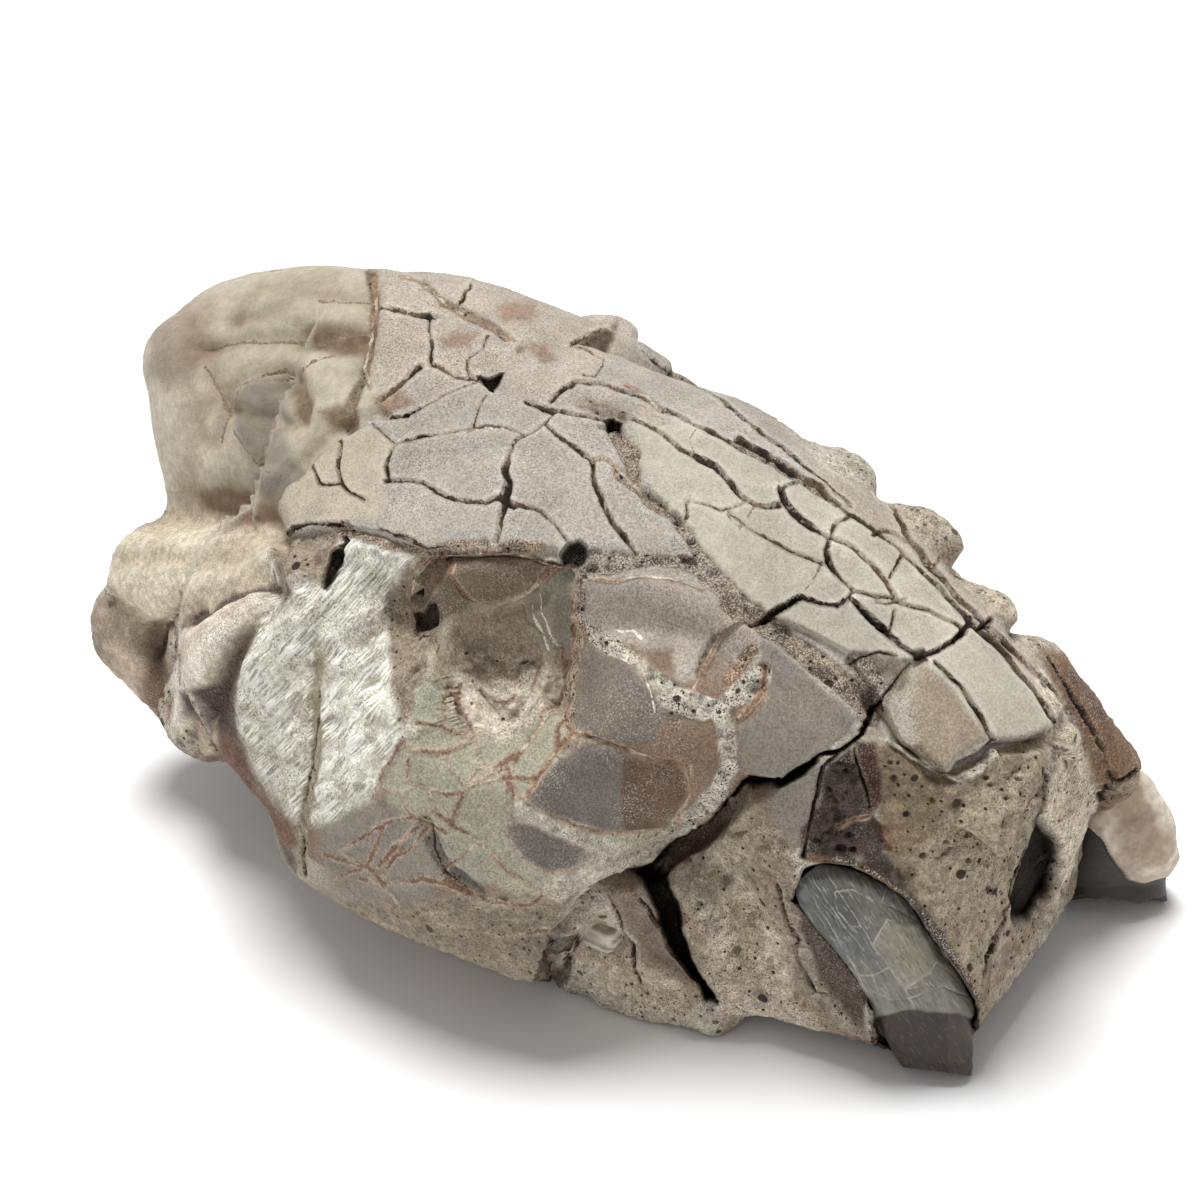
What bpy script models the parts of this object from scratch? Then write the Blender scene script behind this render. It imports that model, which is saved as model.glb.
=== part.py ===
"""Fossil oreodont skull without its lower jaw, still set in its stone matrix.

The bone and the stone grew together into one solid, so the skull is one piece.
Its teeth are pieces of their own: each stands in a socket cut to its shape.

Frame: +X runs from the occiput to the snout, +Y is the animal's left, +Z is up.
The skull's forms are written in millimetres, then scaled to metres by MM.
"""
import bmesh
import bpy
import numpy as np

MM = 0.001                      # one millimetre, in metres

# ---- driving dimensions, in millimetres -------------------------------------
# Roof of the skull: height of the midline at stations along X.
ROOF_X = (0, 15, 30, 45, 60, 75, 90, 105, 120, 135, 150, 162, 174, 184)
ROOF_Z = (76, 89.5, 94, 96.5, 97, 94, 88, 84, 81.2, 77, 69.4, 61, 50.5, 40)
# Half width of the plates on top, right side and (more broken) left side.
PLATE_X = (50, 60, 75, 84, 90, 105, 118, 130, 145, 160, 178)
PLATE_RIGHT = (28, 38, 40, 40, 39, 37, 32, 26, 23, 20, 14)
PLATE_LEFT = (28, 38, 39, 39, 28, 26, 24, 20, 16, 13, 10)
# How far the plates fall from the midline to their side edge.
FALL_X = (30, 60, 78, 95, 112, 130, 150, 174)
FALL_Z = (30, 26, 20, 12, 8, 8, 9, 8)
PLATE_THICK_X = (115, 150, 172)
PLATE_THICK_Z = (15, 11, 5)     # the nasal plates end in a thin broken ledge
PLATES_START, PLATES_END = 50, 176
# Half width of the snout under the plates.
SNOUT_X = (95, 115, 130, 145, 160, 174, 184)
SNOUT_Y = (30, 29, 25, 22, 20, 16, 9)
LEFT_LOSS = 3                   # the left side of the snout is worn thinner
ORBIT = (114, -47, 66)          # centre of the right eye socket
ORBIT_RADII = (13.5, 16, 15.5)
# Split that parts the snout from the right cheek: points in X, Z and half width.
RIFT = ((140, -3, 1.2), (139.5, 8, 1.8), (138, 18, 3.0), (136, 27, 3.6), (137, 35, 1.6),
        (141, 41, 1.3), (147, 47, 1.6), (153, 52, 1.0), (158, 57, 0.5))
RIFT_REACH = (-75, -16)         # from outside the cheek in to this Y
MIDLINE_GROOVE = 1.2            # depth of the open suture along the nasal bones

REST_LUMP = (78, 0, 12)         # stone under the palate that the skull rests on
REST_RADII = (42, 26, 16)

# Spine that the surface is measured from, and the fineness of the net.
SPINE_REAR = (26.0, 0.0, 46.0)
SPINE_FRONT = (140.0, 0.0, 36.0)
REAR_RINGS, BODY_RINGS, SNOUT_RINGS = 13, 33, 17
RING_POINTS = 74
REACH = 112.0                   # farther out than any point of the skull

# Teeth: points of the axis with the radius there, from root to tip.
RIGHT_CANINE = (
    ((151.0, -14.5, 46), 6.0),
    ((157.0, -19.5, 38), 7.6),
    ((162.5, -22.0, 28), 8.4),
    ((166.8, -22.0, 18), 7.8),
    ((169.2, -21.0, 9), 6.6),
    ((170.4, -20.5, 3.2), 5.8),
)
LEFT_CANINE = (
    ((165.5, 18.0, 34), 6.0),
    ((170.5, 22.5, 25), 7.6),
    ((174.5, 26.0, 15), 8.4),
    ((176.5, 27.5, 7), 7.8),
    ((177.0, 27.8, 2.4), 6.4),
)
MOLAR_CENTRE = (121.0, -37.6, 16.5)
MOLAR_SIZE = (10.5, 4.0, 5.0)
SOCKET_GAP = 0.35               # clearance between a tooth and its socket

# Shift that puts the middle of the whole box over the origin.
BOX_MIDDLE = (91.9, 0.1)

BONE = (0.50, 0.46, 0.39)
ENAMEL = (0.20, 0.22, 0.22)
DARK_TOOTH = (0.16, 0.14, 0.13)


# ---- small helpers for working with shapes ----------------------------------
def through(x, stations, values):
    """Smooth curve through the stations, level at each high or low point."""
    xs = np.array(stations, float)
    ys = np.array(values, float)
    slope = np.diff(ys) / np.diff(xs)
    same_way = slope[:-1] * slope[1:] > 0
    mean = 2 * slope[:-1] * slope[1:] / (slope[:-1] + slope[1:] + 1e-12)
    tangent = np.concatenate([slope[:1], np.where(same_way, mean, 0), slope[-1:]])
    x = np.clip(x, xs[0], xs[-1])
    i = np.clip(np.searchsorted(xs, x) - 1, 0, len(xs) - 2)
    h = xs[i + 1] - xs[i]
    t = (x - xs[i]) / h
    start = (2 * t**3 - 3 * t**2 + 1) * ys[i] + (t**3 - 2 * t**2 + t) * h * tangent[i]
    end = (3 * t**2 - 2 * t**3) * ys[i + 1] + (t**3 - t**2) * h * tangent[i + 1]
    return start + end


def join(a, b, blend):
    """Union of two distances, rounded over the blend width."""
    h = np.maximum(blend - np.abs(a - b), 0) / blend
    return np.minimum(a, b) - h * h * blend / 4


def cut(a, b, blend):
    """What both distances share, rounded over the blend width."""
    return -join(-a, -b, blend)


def lump(p, centre, radii):
    """Distance to an ellipsoid."""
    q = p - np.array(centre, float)
    r = np.array(radii, float)
    near = np.linalg.norm(q / r, axis=-1)
    return near * (near - 1) / (np.linalg.norm(q / (r * r), axis=-1) + 1e-9)


def roll(p, start, end, start_radius, end_radius):
    """Distance to a rod with round ends that tapers from start to end."""
    a = np.array(start, float)
    run = np.array(end, float) - a
    t = np.clip(((p - a) @ run) / (run @ run), 0, 1)
    radius = start_radius + (end_radius - start_radius) * t
    return np.linalg.norm(p - a - t[..., None] * run, axis=-1) - radius


def block(p, centre, half, rounding, yaw=0.0, pitch=0.0):
    """Distance to a box with rounded edges, turned by yaw and then pitch."""
    q = p - np.array(centre, float)
    c, s = np.cos(np.radians(yaw)), np.sin(np.radians(yaw))
    x, y, z = q[..., 0] * c + q[..., 1] * s, q[..., 1] * c - q[..., 0] * s, q[..., 2]
    c, s = np.cos(np.radians(pitch)), np.sin(np.radians(pitch))
    q = np.stack([x * c + z * s, y, z * c - x * s], -1)
    d = np.abs(q) - (np.array(half, float) - rounding)
    outside = np.linalg.norm(np.maximum(d, 0), axis=-1)
    return outside + np.minimum(d.max(-1), 0) - rounding


# ---- the skull's forms, each a distance in millimetres ----------------------
def roof_height(x, y):
    """Top surface: the midline height less a fall that grows as y squared."""
    left, right = through(x, PLATE_X, PLATE_LEFT), through(x, PLATE_X, PLATE_RIGHT)
    half = np.where(y > 0, left, right)
    across = np.abs(y) / half
    ceiling = through(x, ROOF_X, ROOF_Z)
    ceiling = ceiling - through(x, FALL_X, FALL_Z) * np.minimum(across, 1) ** 2
    return ceiling, half


def plates(p, ceiling, half):
    """Frontal and nasal plates, a slab under the roof that ends in a ledge."""
    x, y, z = p[..., 0], p[..., 1], p[..., 2]
    thick = through(x, PLATE_THICK_X, PLATE_THICK_Z)
    slab = cut((z - ceiling) * 0.85, np.abs(y) - half, 2)
    slab = cut(slab, (ceiling - thick - z) * 0.85, 2)
    return cut(slab, np.maximum(PLATES_START - x, x - PLATES_END), 2)


def braincase(p):
    """Round braincase with its low crest and the upright crest behind."""
    d = lump(p, (38, 0, 60), (38, 29, 34))
    d = join(d, roll(p, (14, 0, 80), (52, 0, 91), 8, 6), 10)
    return join(d, block(p, (18, 0, 72), (11, 21, 17), 9, pitch=10), 8)


def snout(p, ceiling):
    """Snout under the plates, square in section and stepped back in front."""
    x, y, z = p[..., 0], p[..., 1], p[..., 2]
    half = through(x, SNOUT_X, SNOUT_Y) - np.where(y > 0, LEFT_LOSS, 0)
    d = cut(np.abs(y) - half - (60 - z) * 0.12, (z - ceiling + 5) * 0.85, 6)
    d = cut(d, 6 - z, 8)
    d = cut(d, np.maximum(90 - x, x - 172 + (z - 30) * 0.15), 7)
    return join(d, lump(p, (157, 0, 33), (18, 19, 25)), 5)


def sides(p, m, left):
    """Forms on both sides: m is the point mirrored onto the right side."""
    loss = np.where(left, LEFT_LOSS, 0)
    d = lump(m, (69, -36, 47), (26, 21, 29))                              # behind the orbit
    d = join(d, lump(m, (93, -38, 34), (36, 21, 26)), 6)                  # cheek bone
    d = join(d, roll(m, (80, -51, 25), (117, -47, 20), 8, 6.5), 5)        # its lower edge
    d = join(d, roll(m, (108, -34, 48), (144, -15, 51), 18, 14) + loss, 5)    # upper jaw
    d = join(d, roll(m, (19, -31, 45), (46, -34, 54), 11, 9), 3)          # upper roll of the arch
    d = join(d, roll(m, (36, -39, 27), (58, -42, 50), 9, 10), 3)          # lower roll of the arch
    d = join(d, roll(m, (12, -31, 35), (27, -34, 25), 12, 10), 4)         # ear region
    d = join(d, lump(m, (34, -24, 44), (22, 16, 13)), 4)                  # stone behind the arch
    return join(d, roll(m, (144, -20, 38), (166, -21, 14), 11, 8) + loss, 4)  # canine root


def underside(p, m):
    """Stone that fills the palate, and the rows of the cheek teeth."""
    d = block(p, (86, 0, 32), (48, 30, 28), 12)
    d = join(d, block(p, (40, 0, 42), (30, 26, 22), 14), 8)
    d = join(d, lump(p, REST_LUMP, REST_RADII), 4)
    d = join(d, block(m, (114, -31, 14), (27, 8, 15), 4, yaw=10), 4)
    return join(d, roll(m, (138, -24, 10), (160, -18, 9), 9, 7), 4)


def skull_distance(p):
    """Distance from points p to the skull, negative inside."""
    x, y, z = p[..., 0], p[..., 1], p[..., 2]
    m = np.stack([x, -np.abs(y), z], -1)
    ceiling, half = roof_height(x, y)
    d = join(snout(p, ceiling), sides(p, m, y > 0), 5)
    d = join(d, underside(p, m), 6)
    d = join(d, roll(p, (158, 15, 40), (172, 23, 28), 9, 7), 5)           # left upper jaw
    beside = np.maximum(np.abs(y) - half, 0) * 0.6
    over = (z - ceiling + beside + 1) * 0.85 - np.maximum(PLATES_START + 6 - x, 0)
    d = cut(d, over, 3)
    d = join(d, braincase(p), 6)
    d = join(d, plates(p, ceiling, half), 3)
    d = cut(d, -lump(m, ORBIT, ORBIT_RADII), 3)
    suture = np.maximum(1 - np.abs(y) / 3, 0) * np.clip((x - 120) / 20, 0, 1) * (z > 40)
    return d + MIDLINE_GROOVE * suture - surface_lumps(p)


def surface_lumps(p):
    """Low swellings and hollows of the worn surface, as crossed waves."""
    x, y, z = p[..., 0], p[..., 1], p[..., 2]
    broad = np.sin(x / 6.1 + np.sin(y / 7.3)) * np.sin(y / 5.7 + 1) * np.sin(z / 6.7 + 2)
    fine = np.sin(x / 2.9 + 1.3) * np.sin(y / 2.7 + np.sin(z / 3.1)) * np.sin(z / 3.3)
    return 0.9 * broad + 0.45 * fine


# ---- the closed net over the skull ------------------------------------------
def spine_rays():
    """Start and direction of each ring's rays: fans at both ends, rings between."""
    rear, front = np.array(SPINE_REAR), np.array(SPINE_FRONT)
    rear_tilt = -90 + 90 * np.arange(1, REAR_RINGS + 1) / (REAR_RINGS + 1)
    front_tilt = 90 * np.arange(1, SNOUT_RINGS + 1) / (SNOUT_RINGS + 1)
    tilt = np.radians(np.concatenate([rear_tilt, np.zeros(BODY_RINGS), front_tilt]))
    along = np.concatenate([
        np.zeros(REAR_RINGS), np.linspace(0, 1, BODY_RINGS), np.ones(SNOUT_RINGS)])
    start = rear + along[:, None] * (front - rear)
    turn = 2 * np.pi * np.arange(RING_POINTS) / RING_POINTS
    across = np.stack([0 * turn, -np.sin(turn), np.cos(turn)], -1)
    direction = np.cos(tilt)[:, None, None] * across
    direction[..., 0] = np.sin(tilt)[:, None]
    start = np.repeat(start[:, None], RING_POINTS, 1)
    return start.reshape(-1, 3), direction.reshape(-1, 3)


def outermost(start, direction):
    """Walk in along each ray until the distance to the skull is nothing."""
    reach = np.full(len(start), REACH)
    for _ in range(90):
        d = skull_distance(start + direction * reach[:, None])
        reach = np.maximum(reach - 0.7 * d, 2.0)
    return start + direction * reach[:, None]


def skull_mesh():
    """Net of rings closed by a point at each end, as a mesh in metres."""
    start, direction = spine_rays()
    ends = np.array([SPINE_REAR, SPINE_FRONT])
    start = np.concatenate([start, ends])
    direction = np.concatenate([direction, [(-1.0, 0, 0), (1.0, 0, 0)]])
    points = outermost(start, direction)
    points[:, :2] -= BOX_MIDDLE
    rings = REAR_RINGS + BODY_RINGS + SNOUT_RINGS
    n = RING_POINTS
    faces = []
    for i in range(rings - 1):
        for j in range(n):
            k = (j + 1) % n
            faces.append((i * n + j, i * n + k, i * n + n + k, i * n + n + j))
    rear_point, front_point = rings * n, rings * n + 1
    last = (rings - 1) * n
    for j in range(n):
        k = (j + 1) % n
        faces.append((rear_point, k, j))
        faces.append((front_point, last + j, last + k))
    mesh = bpy.data.meshes.new("skull")
    mesh.from_pydata((points * MM).tolist(), [], faces)
    mesh.validate()
    return mesh


# ---- objects ----------------------------------------------------------------
def collection(name):
    """New collection in the scene."""
    made = bpy.data.collections.new(name)
    bpy.context.scene.collection.children.link(made)
    return made


def material(name, colour, roughness):
    """Principled material with one colour."""
    made = bpy.data.materials.new(name)
    made.use_nodes = True
    shader = made.node_tree.nodes["Principled BSDF"]
    shader.inputs["Base Color"].default_value = (*colour, 1)
    shader.inputs["Roughness"].default_value = roughness
    shader.inputs["Metallic"].default_value = 0
    return made


def tooth_mesh(name, axis, extra):
    """Tapered tube along the tooth's axis, its radius larger by extra."""
    curve = bpy.data.curves.new(name, "CURVE")
    curve.dimensions = "3D"
    curve.bevel_depth = MM
    curve.bevel_resolution = 3
    curve.use_fill_caps = True
    spline = curve.splines.new("POLY")
    spline.points.add(len(axis) - 1)
    for point, (place, radius) in zip(spline.points, axis):
        x, y, z = place
        point.co = ((x - BOX_MIDDLE[0]) * MM, (y - BOX_MIDDLE[1]) * MM, z * MM, 1)
        point.radius = radius + extra
    guide = bpy.data.objects.new(name + "_axis", curve)
    bpy.context.scene.collection.objects.link(guide)
    bpy.context.view_layer.update()
    evaluated = guide.evaluated_get(bpy.context.evaluated_depsgraph_get())
    mesh = bpy.data.meshes.new_from_object(evaluated)
    mesh.name = name
    bpy.data.objects.remove(guide)
    return weld(mesh)


def weld(mesh):
    """Join the tube's loose caps to its wall."""
    work = bmesh.new()
    work.from_mesh(mesh)
    bmesh.ops.remove_doubles(work, verts=work.verts, dist=0.00001)
    bmesh.ops.recalc_face_normals(work, faces=work.faces)
    work.to_mesh(mesh)
    work.free()
    return mesh


def box_object(name, centre, size, group):
    """Box with its scale applied, from the cube primitive."""
    bpy.ops.mesh.primitive_cube_add(size=1)
    made = bpy.context.active_object
    made.name = name
    made.scale = [s * MM for s in size]
    bpy.ops.object.transform_apply(location=False, rotation=False, scale=True)
    x, y, z = centre
    made.location = ((x - BOX_MIDDLE[0]) * MM, (y - BOX_MIDDLE[1]) * MM, z * MM)
    for old in made.users_collection:
        old.objects.unlink(made)
    group.objects.link(made)
    return made


def link(name, mesh, group, finish=None):
    """Object for the mesh, in the group, smooth and with its finish."""
    made = bpy.data.objects.new(name, mesh)
    group.objects.link(made)
    if finish:
        mesh.materials.append(finish)
    mesh.shade_smooth()
    mesh.set_sharp_from_angle(angle=np.radians(40))
    return made


def hide_cutter(cutter):
    """Keep a cutter out of the model."""
    cutter.hide_render = True
    cutter.display_type = "WIRE"


def subtract(target, cutter):
    """Exact Boolean difference, left live on the target."""
    hide_cutter(cutter)
    modifier = target.modifiers.new("cut_" + cutter.name, "BOOLEAN")
    modifier.operation = "DIFFERENCE"
    modifier.solver = "EXACT"
    modifier.object = cutter


def build_rift(cutters, skull):
    """Wedge-shaped split between the right cheek and the snout."""
    curve = bpy.data.curves.new("rift", "CURVE")
    curve.dimensions = "2D"
    curve.fill_mode = "BOTH"
    curve.extrude = (RIFT_REACH[1] - RIFT_REACH[0]) / 2 * MM
    spline = curve.splines.new("POLY")
    spline.use_cyclic_u = True
    outline = [(x - w * 0.8, z + w * 0.4) for x, z, w in RIFT]
    outline += [(x + w * 0.8, z - w * 0.4) for x, z, w in reversed(RIFT)]
    spline.points.add(len(outline) - 1)
    for point, (x, z) in zip(spline.points, outline):
        point.co = ((x - BOX_MIDDLE[0]) * MM, z * MM, 0, 1)
    guide = bpy.data.objects.new("rift_outline", curve)
    bpy.context.scene.collection.objects.link(guide)
    bpy.context.view_layer.update()
    evaluated = guide.evaluated_get(bpy.context.evaluated_depsgraph_get())
    wedge = link("rift", weld(bpy.data.meshes.new_from_object(evaluated)), cutters)
    bpy.data.objects.remove(guide)
    wedge.rotation_euler.x = np.pi / 2
    wedge.location.y = (RIFT_REACH[0] + RIFT_REACH[1]) / 2 * MM
    subtract(skull, wedge)


def build_molar(parts, cutters, skull, finish):
    """Slab of a worn cheek tooth that shows in the right tooth row."""
    tooth = box_object("right_molar", MOLAR_CENTRE, MOLAR_SIZE, parts)
    tooth.data.materials.append(finish)
    bevel = tooth.modifiers.new("worn_edges", "BEVEL")
    bevel.width = 0.8 * MM
    bevel.segments = 2
    size = [s + 2 * SOCKET_GAP for s in MOLAR_SIZE]
    socket = box_object("molar_socket", MOLAR_CENTRE, size, cutters)
    subtract(skull, socket)


def build_canine(name, axis, parts, cutters, skull, finish):
    """Canine in a socket that follows its shape all round."""
    link(name, tooth_mesh(name, axis, 0.0), parts, finish)
    root, tip = axis[0], axis[-1]
    above, below = (np.array(axis[1][0]) - root[0]), (np.array(tip[0]) - axis[-2][0])
    start = np.array(root[0]) - above / np.linalg.norm(above) * SOCKET_GAP
    end = np.array(tip[0]) + below / np.linalg.norm(below) * 3
    longer = ((tuple(start), root[1]),) + axis[1:-1] + ((tuple(end), tip[1]),)
    socket = link(name + "_socket", tooth_mesh(name + "_socket", longer, SOCKET_GAP), cutters)
    subtract(skull, socket)


def main():
    """Build the skull, flatten the spot it rests on, and set the teeth."""
    for old in list(bpy.data.objects):
        bpy.data.objects.remove(old)
    parts = collection("fossil_oreodont_skull")
    cutters = collection("cutters")
    bone = material("bone_and_matrix", BONE, 0.9)
    enamel = material("enamel", ENAMEL, 0.4)
    dark = material("dark_tooth", DARK_TOOTH, 0.5)
    skull = link("skull", skull_mesh(), parts, bone)
    worn = skull.modifiers.new("worn", "SMOOTH")
    worn.factor = 0.5
    worn.iterations = 2
    floor = box_object("floor_cutter", (92, 0, -30), (260, 200, 60), cutters)
    subtract(skull, floor)
    build_rift(cutters, skull)
    build_canine("right_canine", RIGHT_CANINE, parts, cutters, skull, enamel)
    build_canine("left_canine", LEFT_CANINE, parts, cutters, skull, dark)
    build_molar(parts, cutters, skull, enamel)


main()
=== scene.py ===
# %% [markdown]
# # A fossil oreodont skull
# An oreodont was a sheep-sized hoofed mammal. Its skull has lain in siltstone so long
# that bone and stone are one lump: plates of bone crazed all over with cracks, pale
# stone that fills every hollow, and dark canine teeth that still stand in their
# sockets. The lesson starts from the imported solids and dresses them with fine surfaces.

import bpy
import numpy as np
from mathutils import Matrix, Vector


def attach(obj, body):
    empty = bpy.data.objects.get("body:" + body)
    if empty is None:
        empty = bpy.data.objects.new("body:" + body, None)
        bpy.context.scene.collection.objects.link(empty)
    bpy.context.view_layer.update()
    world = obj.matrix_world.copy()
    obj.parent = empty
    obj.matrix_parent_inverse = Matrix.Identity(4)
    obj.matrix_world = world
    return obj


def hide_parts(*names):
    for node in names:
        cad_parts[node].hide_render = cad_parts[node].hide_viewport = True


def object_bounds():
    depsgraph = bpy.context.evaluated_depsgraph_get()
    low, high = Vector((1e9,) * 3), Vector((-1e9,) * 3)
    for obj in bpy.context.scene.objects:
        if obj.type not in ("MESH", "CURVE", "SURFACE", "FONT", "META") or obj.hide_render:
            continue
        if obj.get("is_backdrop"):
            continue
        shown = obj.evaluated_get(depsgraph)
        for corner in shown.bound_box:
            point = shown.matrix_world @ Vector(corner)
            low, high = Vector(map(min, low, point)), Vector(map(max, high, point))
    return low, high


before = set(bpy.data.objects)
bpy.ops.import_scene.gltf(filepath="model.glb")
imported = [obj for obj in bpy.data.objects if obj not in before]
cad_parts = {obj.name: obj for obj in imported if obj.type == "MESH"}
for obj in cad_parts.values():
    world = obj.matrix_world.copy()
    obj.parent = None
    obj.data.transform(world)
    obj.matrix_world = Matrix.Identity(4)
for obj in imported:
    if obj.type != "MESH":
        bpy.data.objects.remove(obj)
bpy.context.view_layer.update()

# %% [markdown]
# ## Where the eye stands
# Many cracks are laid down where an onlooker sees them, so the lesson first fixes one
# view: a place for the eye, a point it looks at, a small roll of the head and a focal
# length. All lengths are in millimetres until the last step, with the skull's own
# zero at the back of the crest. A place in the picture is counted in 1200 steps
# across and 1200 down.

# %% The eye and its picture
MM = 0.001
BOX_MIDDLE = np.array([91.9, 0.1, 0.0])
EYE = np.array([242.0, -161.0, 170.0])
LOOK_AT = np.array([96.0, 0.0, 47.0])
ROLL_OF_VIEW = np.radians(-6.5)
FOCAL = 1505.0
MIDDLE = 600.0


def unit(v):
    """Each vector divided by its own length."""
    return v / (np.linalg.norm(v, axis=-1, keepdims=True) + 1e-12)


AHEAD = unit(LOOK_AT - EYE)
LEVEL = unit(np.cross(AHEAD, (0, 0, 1)))
RISE = np.cross(LEVEL, AHEAD)
RIGHT = LEVEL * np.cos(ROLL_OF_VIEW) + RISE * np.sin(ROLL_OF_VIEW)
UP = RISE * np.cos(ROLL_OF_VIEW) - LEVEL * np.sin(ROLL_OF_VIEW)


def picture(p):
    """Place of each point in the picture: sideways and upward share of its depth."""
    away = p - EYE
    depth = away @ AHEAD
    across = MIDDLE + FOCAL * (away @ RIGHT) / depth
    down = MIDDLE - FOCAL * (away @ UP) / depth
    return across, down, depth


def sight(across, down):
    """Line from the eye through a place in the picture, one millimetre deep."""
    across, down = np.asarray(across, float), np.asarray(down, float)
    side = RIGHT * ((across - MIDDLE) / FOCAL)[..., None]
    return AHEAD + side - UP * ((down - MIDDLE) / FOCAL)[..., None]


print("the eye is", round(float(np.linalg.norm(EYE - LOOK_AT))), "mm from the skull")

# %% [markdown]
# ## The forms of the skull
# A skull is hard to model face by face, but easy to describe as a sum of masses: a
# round braincase, two cheeks, a snout, a slab of plates for a roof. Each mass is a
# distance function, which says how far a point is from the surface of that mass, and
# distances are blended where bone flows into bone. These are the same masses that
# the solid part was made from, so the fine surface lies on the solid.

# %% Curves through stations and blended distances


def through(x, stations, values):
    """Smooth curve through the stations, level at each high or low point."""
    xs = np.array(stations, float)
    ys = np.array(values, float)
    slope = np.diff(ys) / np.diff(xs)
    same_way = slope[:-1] * slope[1:] > 0
    mean = 2 * slope[:-1] * slope[1:] / (slope[:-1] + slope[1:] + 1e-12)
    tangent = np.concatenate([slope[:1], np.where(same_way, mean, 0), slope[-1:]])
    x = np.clip(x, xs[0], xs[-1])
    i = np.clip(np.searchsorted(xs, x) - 1, 0, len(xs) - 2)
    h = xs[i + 1] - xs[i]
    t = (x - xs[i]) / h
    start = (2 * t**3 - 3 * t**2 + 1) * ys[i] + (t**3 - 2 * t**2 + t) * h * tangent[i]
    end = (3 * t**2 - 2 * t**3) * ys[i + 1] + (t**3 - t**2) * h * tangent[i + 1]
    return start + end


def join(a, b, blend):
    """Union of two distances, rounded over the blend width."""
    h = np.maximum(blend - np.abs(a - b), 0) / blend
    return np.minimum(a, b) - h * h * blend / 4


def cut(a, b, blend):
    """What both distances share, rounded over the blend width."""
    return -join(-a, -b, blend)


print("two surfaces one millimetre away join at", join(1.0, 1.0, 4), "mm")

# %% Ellipsoid, rod and box


def lump(p, centre, radii):
    """Distance to an ellipsoid."""
    q = p - np.array(centre, float)
    r = np.array(radii, float)
    near = np.linalg.norm(q / r, axis=-1)
    return near * (near - 1) / (np.linalg.norm(q / (r * r), axis=-1) + 1e-9)


def roll(p, start, end, start_radius, end_radius):
    """Distance to a rod with round ends that tapers from start to end."""
    a = np.array(start, float)
    run = np.array(end, float) - a
    t = np.clip(((p - a) @ run) / (run @ run), 0, 1)
    radius = start_radius + (end_radius - start_radius) * t
    return np.linalg.norm(p - a - t[..., None] * run, axis=-1) - radius


def block(p, centre, half, rounding, yaw=0.0, pitch=0.0):
    """Distance to a box with rounded edges, turned by yaw and then pitch."""
    q = p - np.array(centre, float)
    c, s = np.cos(np.radians(yaw)), np.sin(np.radians(yaw))
    x, y, z = q[..., 0] * c + q[..., 1] * s, q[..., 1] * c - q[..., 0] * s, q[..., 2]
    c, s = np.cos(np.radians(pitch)), np.sin(np.radians(pitch))
    q = np.stack([x * c + z * s, y, z * c - x * s], -1)
    d = np.abs(q) - (np.array(half, float) - rounding)
    outside = np.linalg.norm(np.maximum(d, 0), axis=-1)
    return outside + np.minimum(d.max(-1), 0) - rounding


print("a block is", block(np.array([3.0, 0, 0]), (0, 0, 0), (1, 1, 1), 0.2), "mm away")

# %% [markdown]
# The roof of the skull is a table of heights along the midline, and each half of it
# falls away to its side edge. The left half is narrower, because it is broken.

# %% Roof, plates and snout
ROOF_X = (0, 15, 30, 45, 60, 75, 90, 105, 120, 135, 150, 162, 174, 184)
ROOF_Z = (76, 89.5, 94, 96.5, 97, 94, 88, 84, 81.2, 77, 69.4, 61, 50.5, 40)
PLATE_X = (50, 60, 75, 84, 90, 105, 118, 130, 145, 160, 178)
PLATE_RIGHT = (28, 38, 40, 40, 39, 37, 32, 26, 23, 20, 14)
PLATE_LEFT = (28, 38, 39, 39, 28, 26, 24, 20, 16, 13, 10)
FALL_X = (30, 60, 78, 95, 112, 130, 150, 174)
FALL_Z = (30, 26, 20, 12, 8, 8, 9, 8)
PLATE_THICK_X = (115, 150, 172)
PLATE_THICK_Z = (15, 11, 5)
PLATES_START, PLATES_END = 50, 176
SNOUT_X = (95, 115, 130, 145, 160, 174, 184)
SNOUT_Y = (30, 29, 25, 22, 20, 16, 9)
LEFT_LOSS = 3


def roof_height(x, y):
    """Top surface: the midline height less a fall that grows as y squared."""
    left, right = through(x, PLATE_X, PLATE_LEFT), through(x, PLATE_X, PLATE_RIGHT)
    half = np.where(y > 0, left, right)
    across = np.abs(y) / half
    ceiling = through(x, ROOF_X, ROOF_Z)
    ceiling = ceiling - through(x, FALL_X, FALL_Z) * np.minimum(across, 1) ** 2
    return ceiling, half


def plates(p, ceiling, half):
    """Frontal and nasal plates, a slab under the roof that ends in a ledge."""
    x, y, z = p[..., 0], p[..., 1], p[..., 2]
    thick = through(x, PLATE_THICK_X, PLATE_THICK_Z)
    slab = cut((z - ceiling) * 0.85, np.abs(y) - half, 2)
    slab = cut(slab, (ceiling - thick - z) * 0.85, 2)
    return cut(slab, np.maximum(PLATES_START - x, x - PLATES_END), 2)


def braincase(p):
    """Round braincase with its low crest and the upright crest behind."""
    d = lump(p, (38, 0, 60), (38, 29, 34))
    d = join(d, roll(p, (14, 0, 80), (52, 0, 91), 8, 6), 10)
    return join(d, block(p, (18, 0, 72), (11, 21, 17), 9, pitch=10), 8)


def snout(p, ceiling):
    """Snout under the plates, square in section and stepped back in front."""
    x, y, z = p[..., 0], p[..., 1], p[..., 2]
    half = through(x, SNOUT_X, SNOUT_Y) - np.where(y > 0, LEFT_LOSS, 0)
    d = cut(np.abs(y) - half - (60 - z) * 0.12, (z - ceiling + 5) * 0.85, 6)
    d = cut(d, 6 - z, 8)
    d = cut(d, np.maximum(90 - x, x - 172 + (z - 30) * 0.15), 7)
    return join(d, lump(p, (157, 0, 33), (18, 19, 25)), 5)


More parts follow.
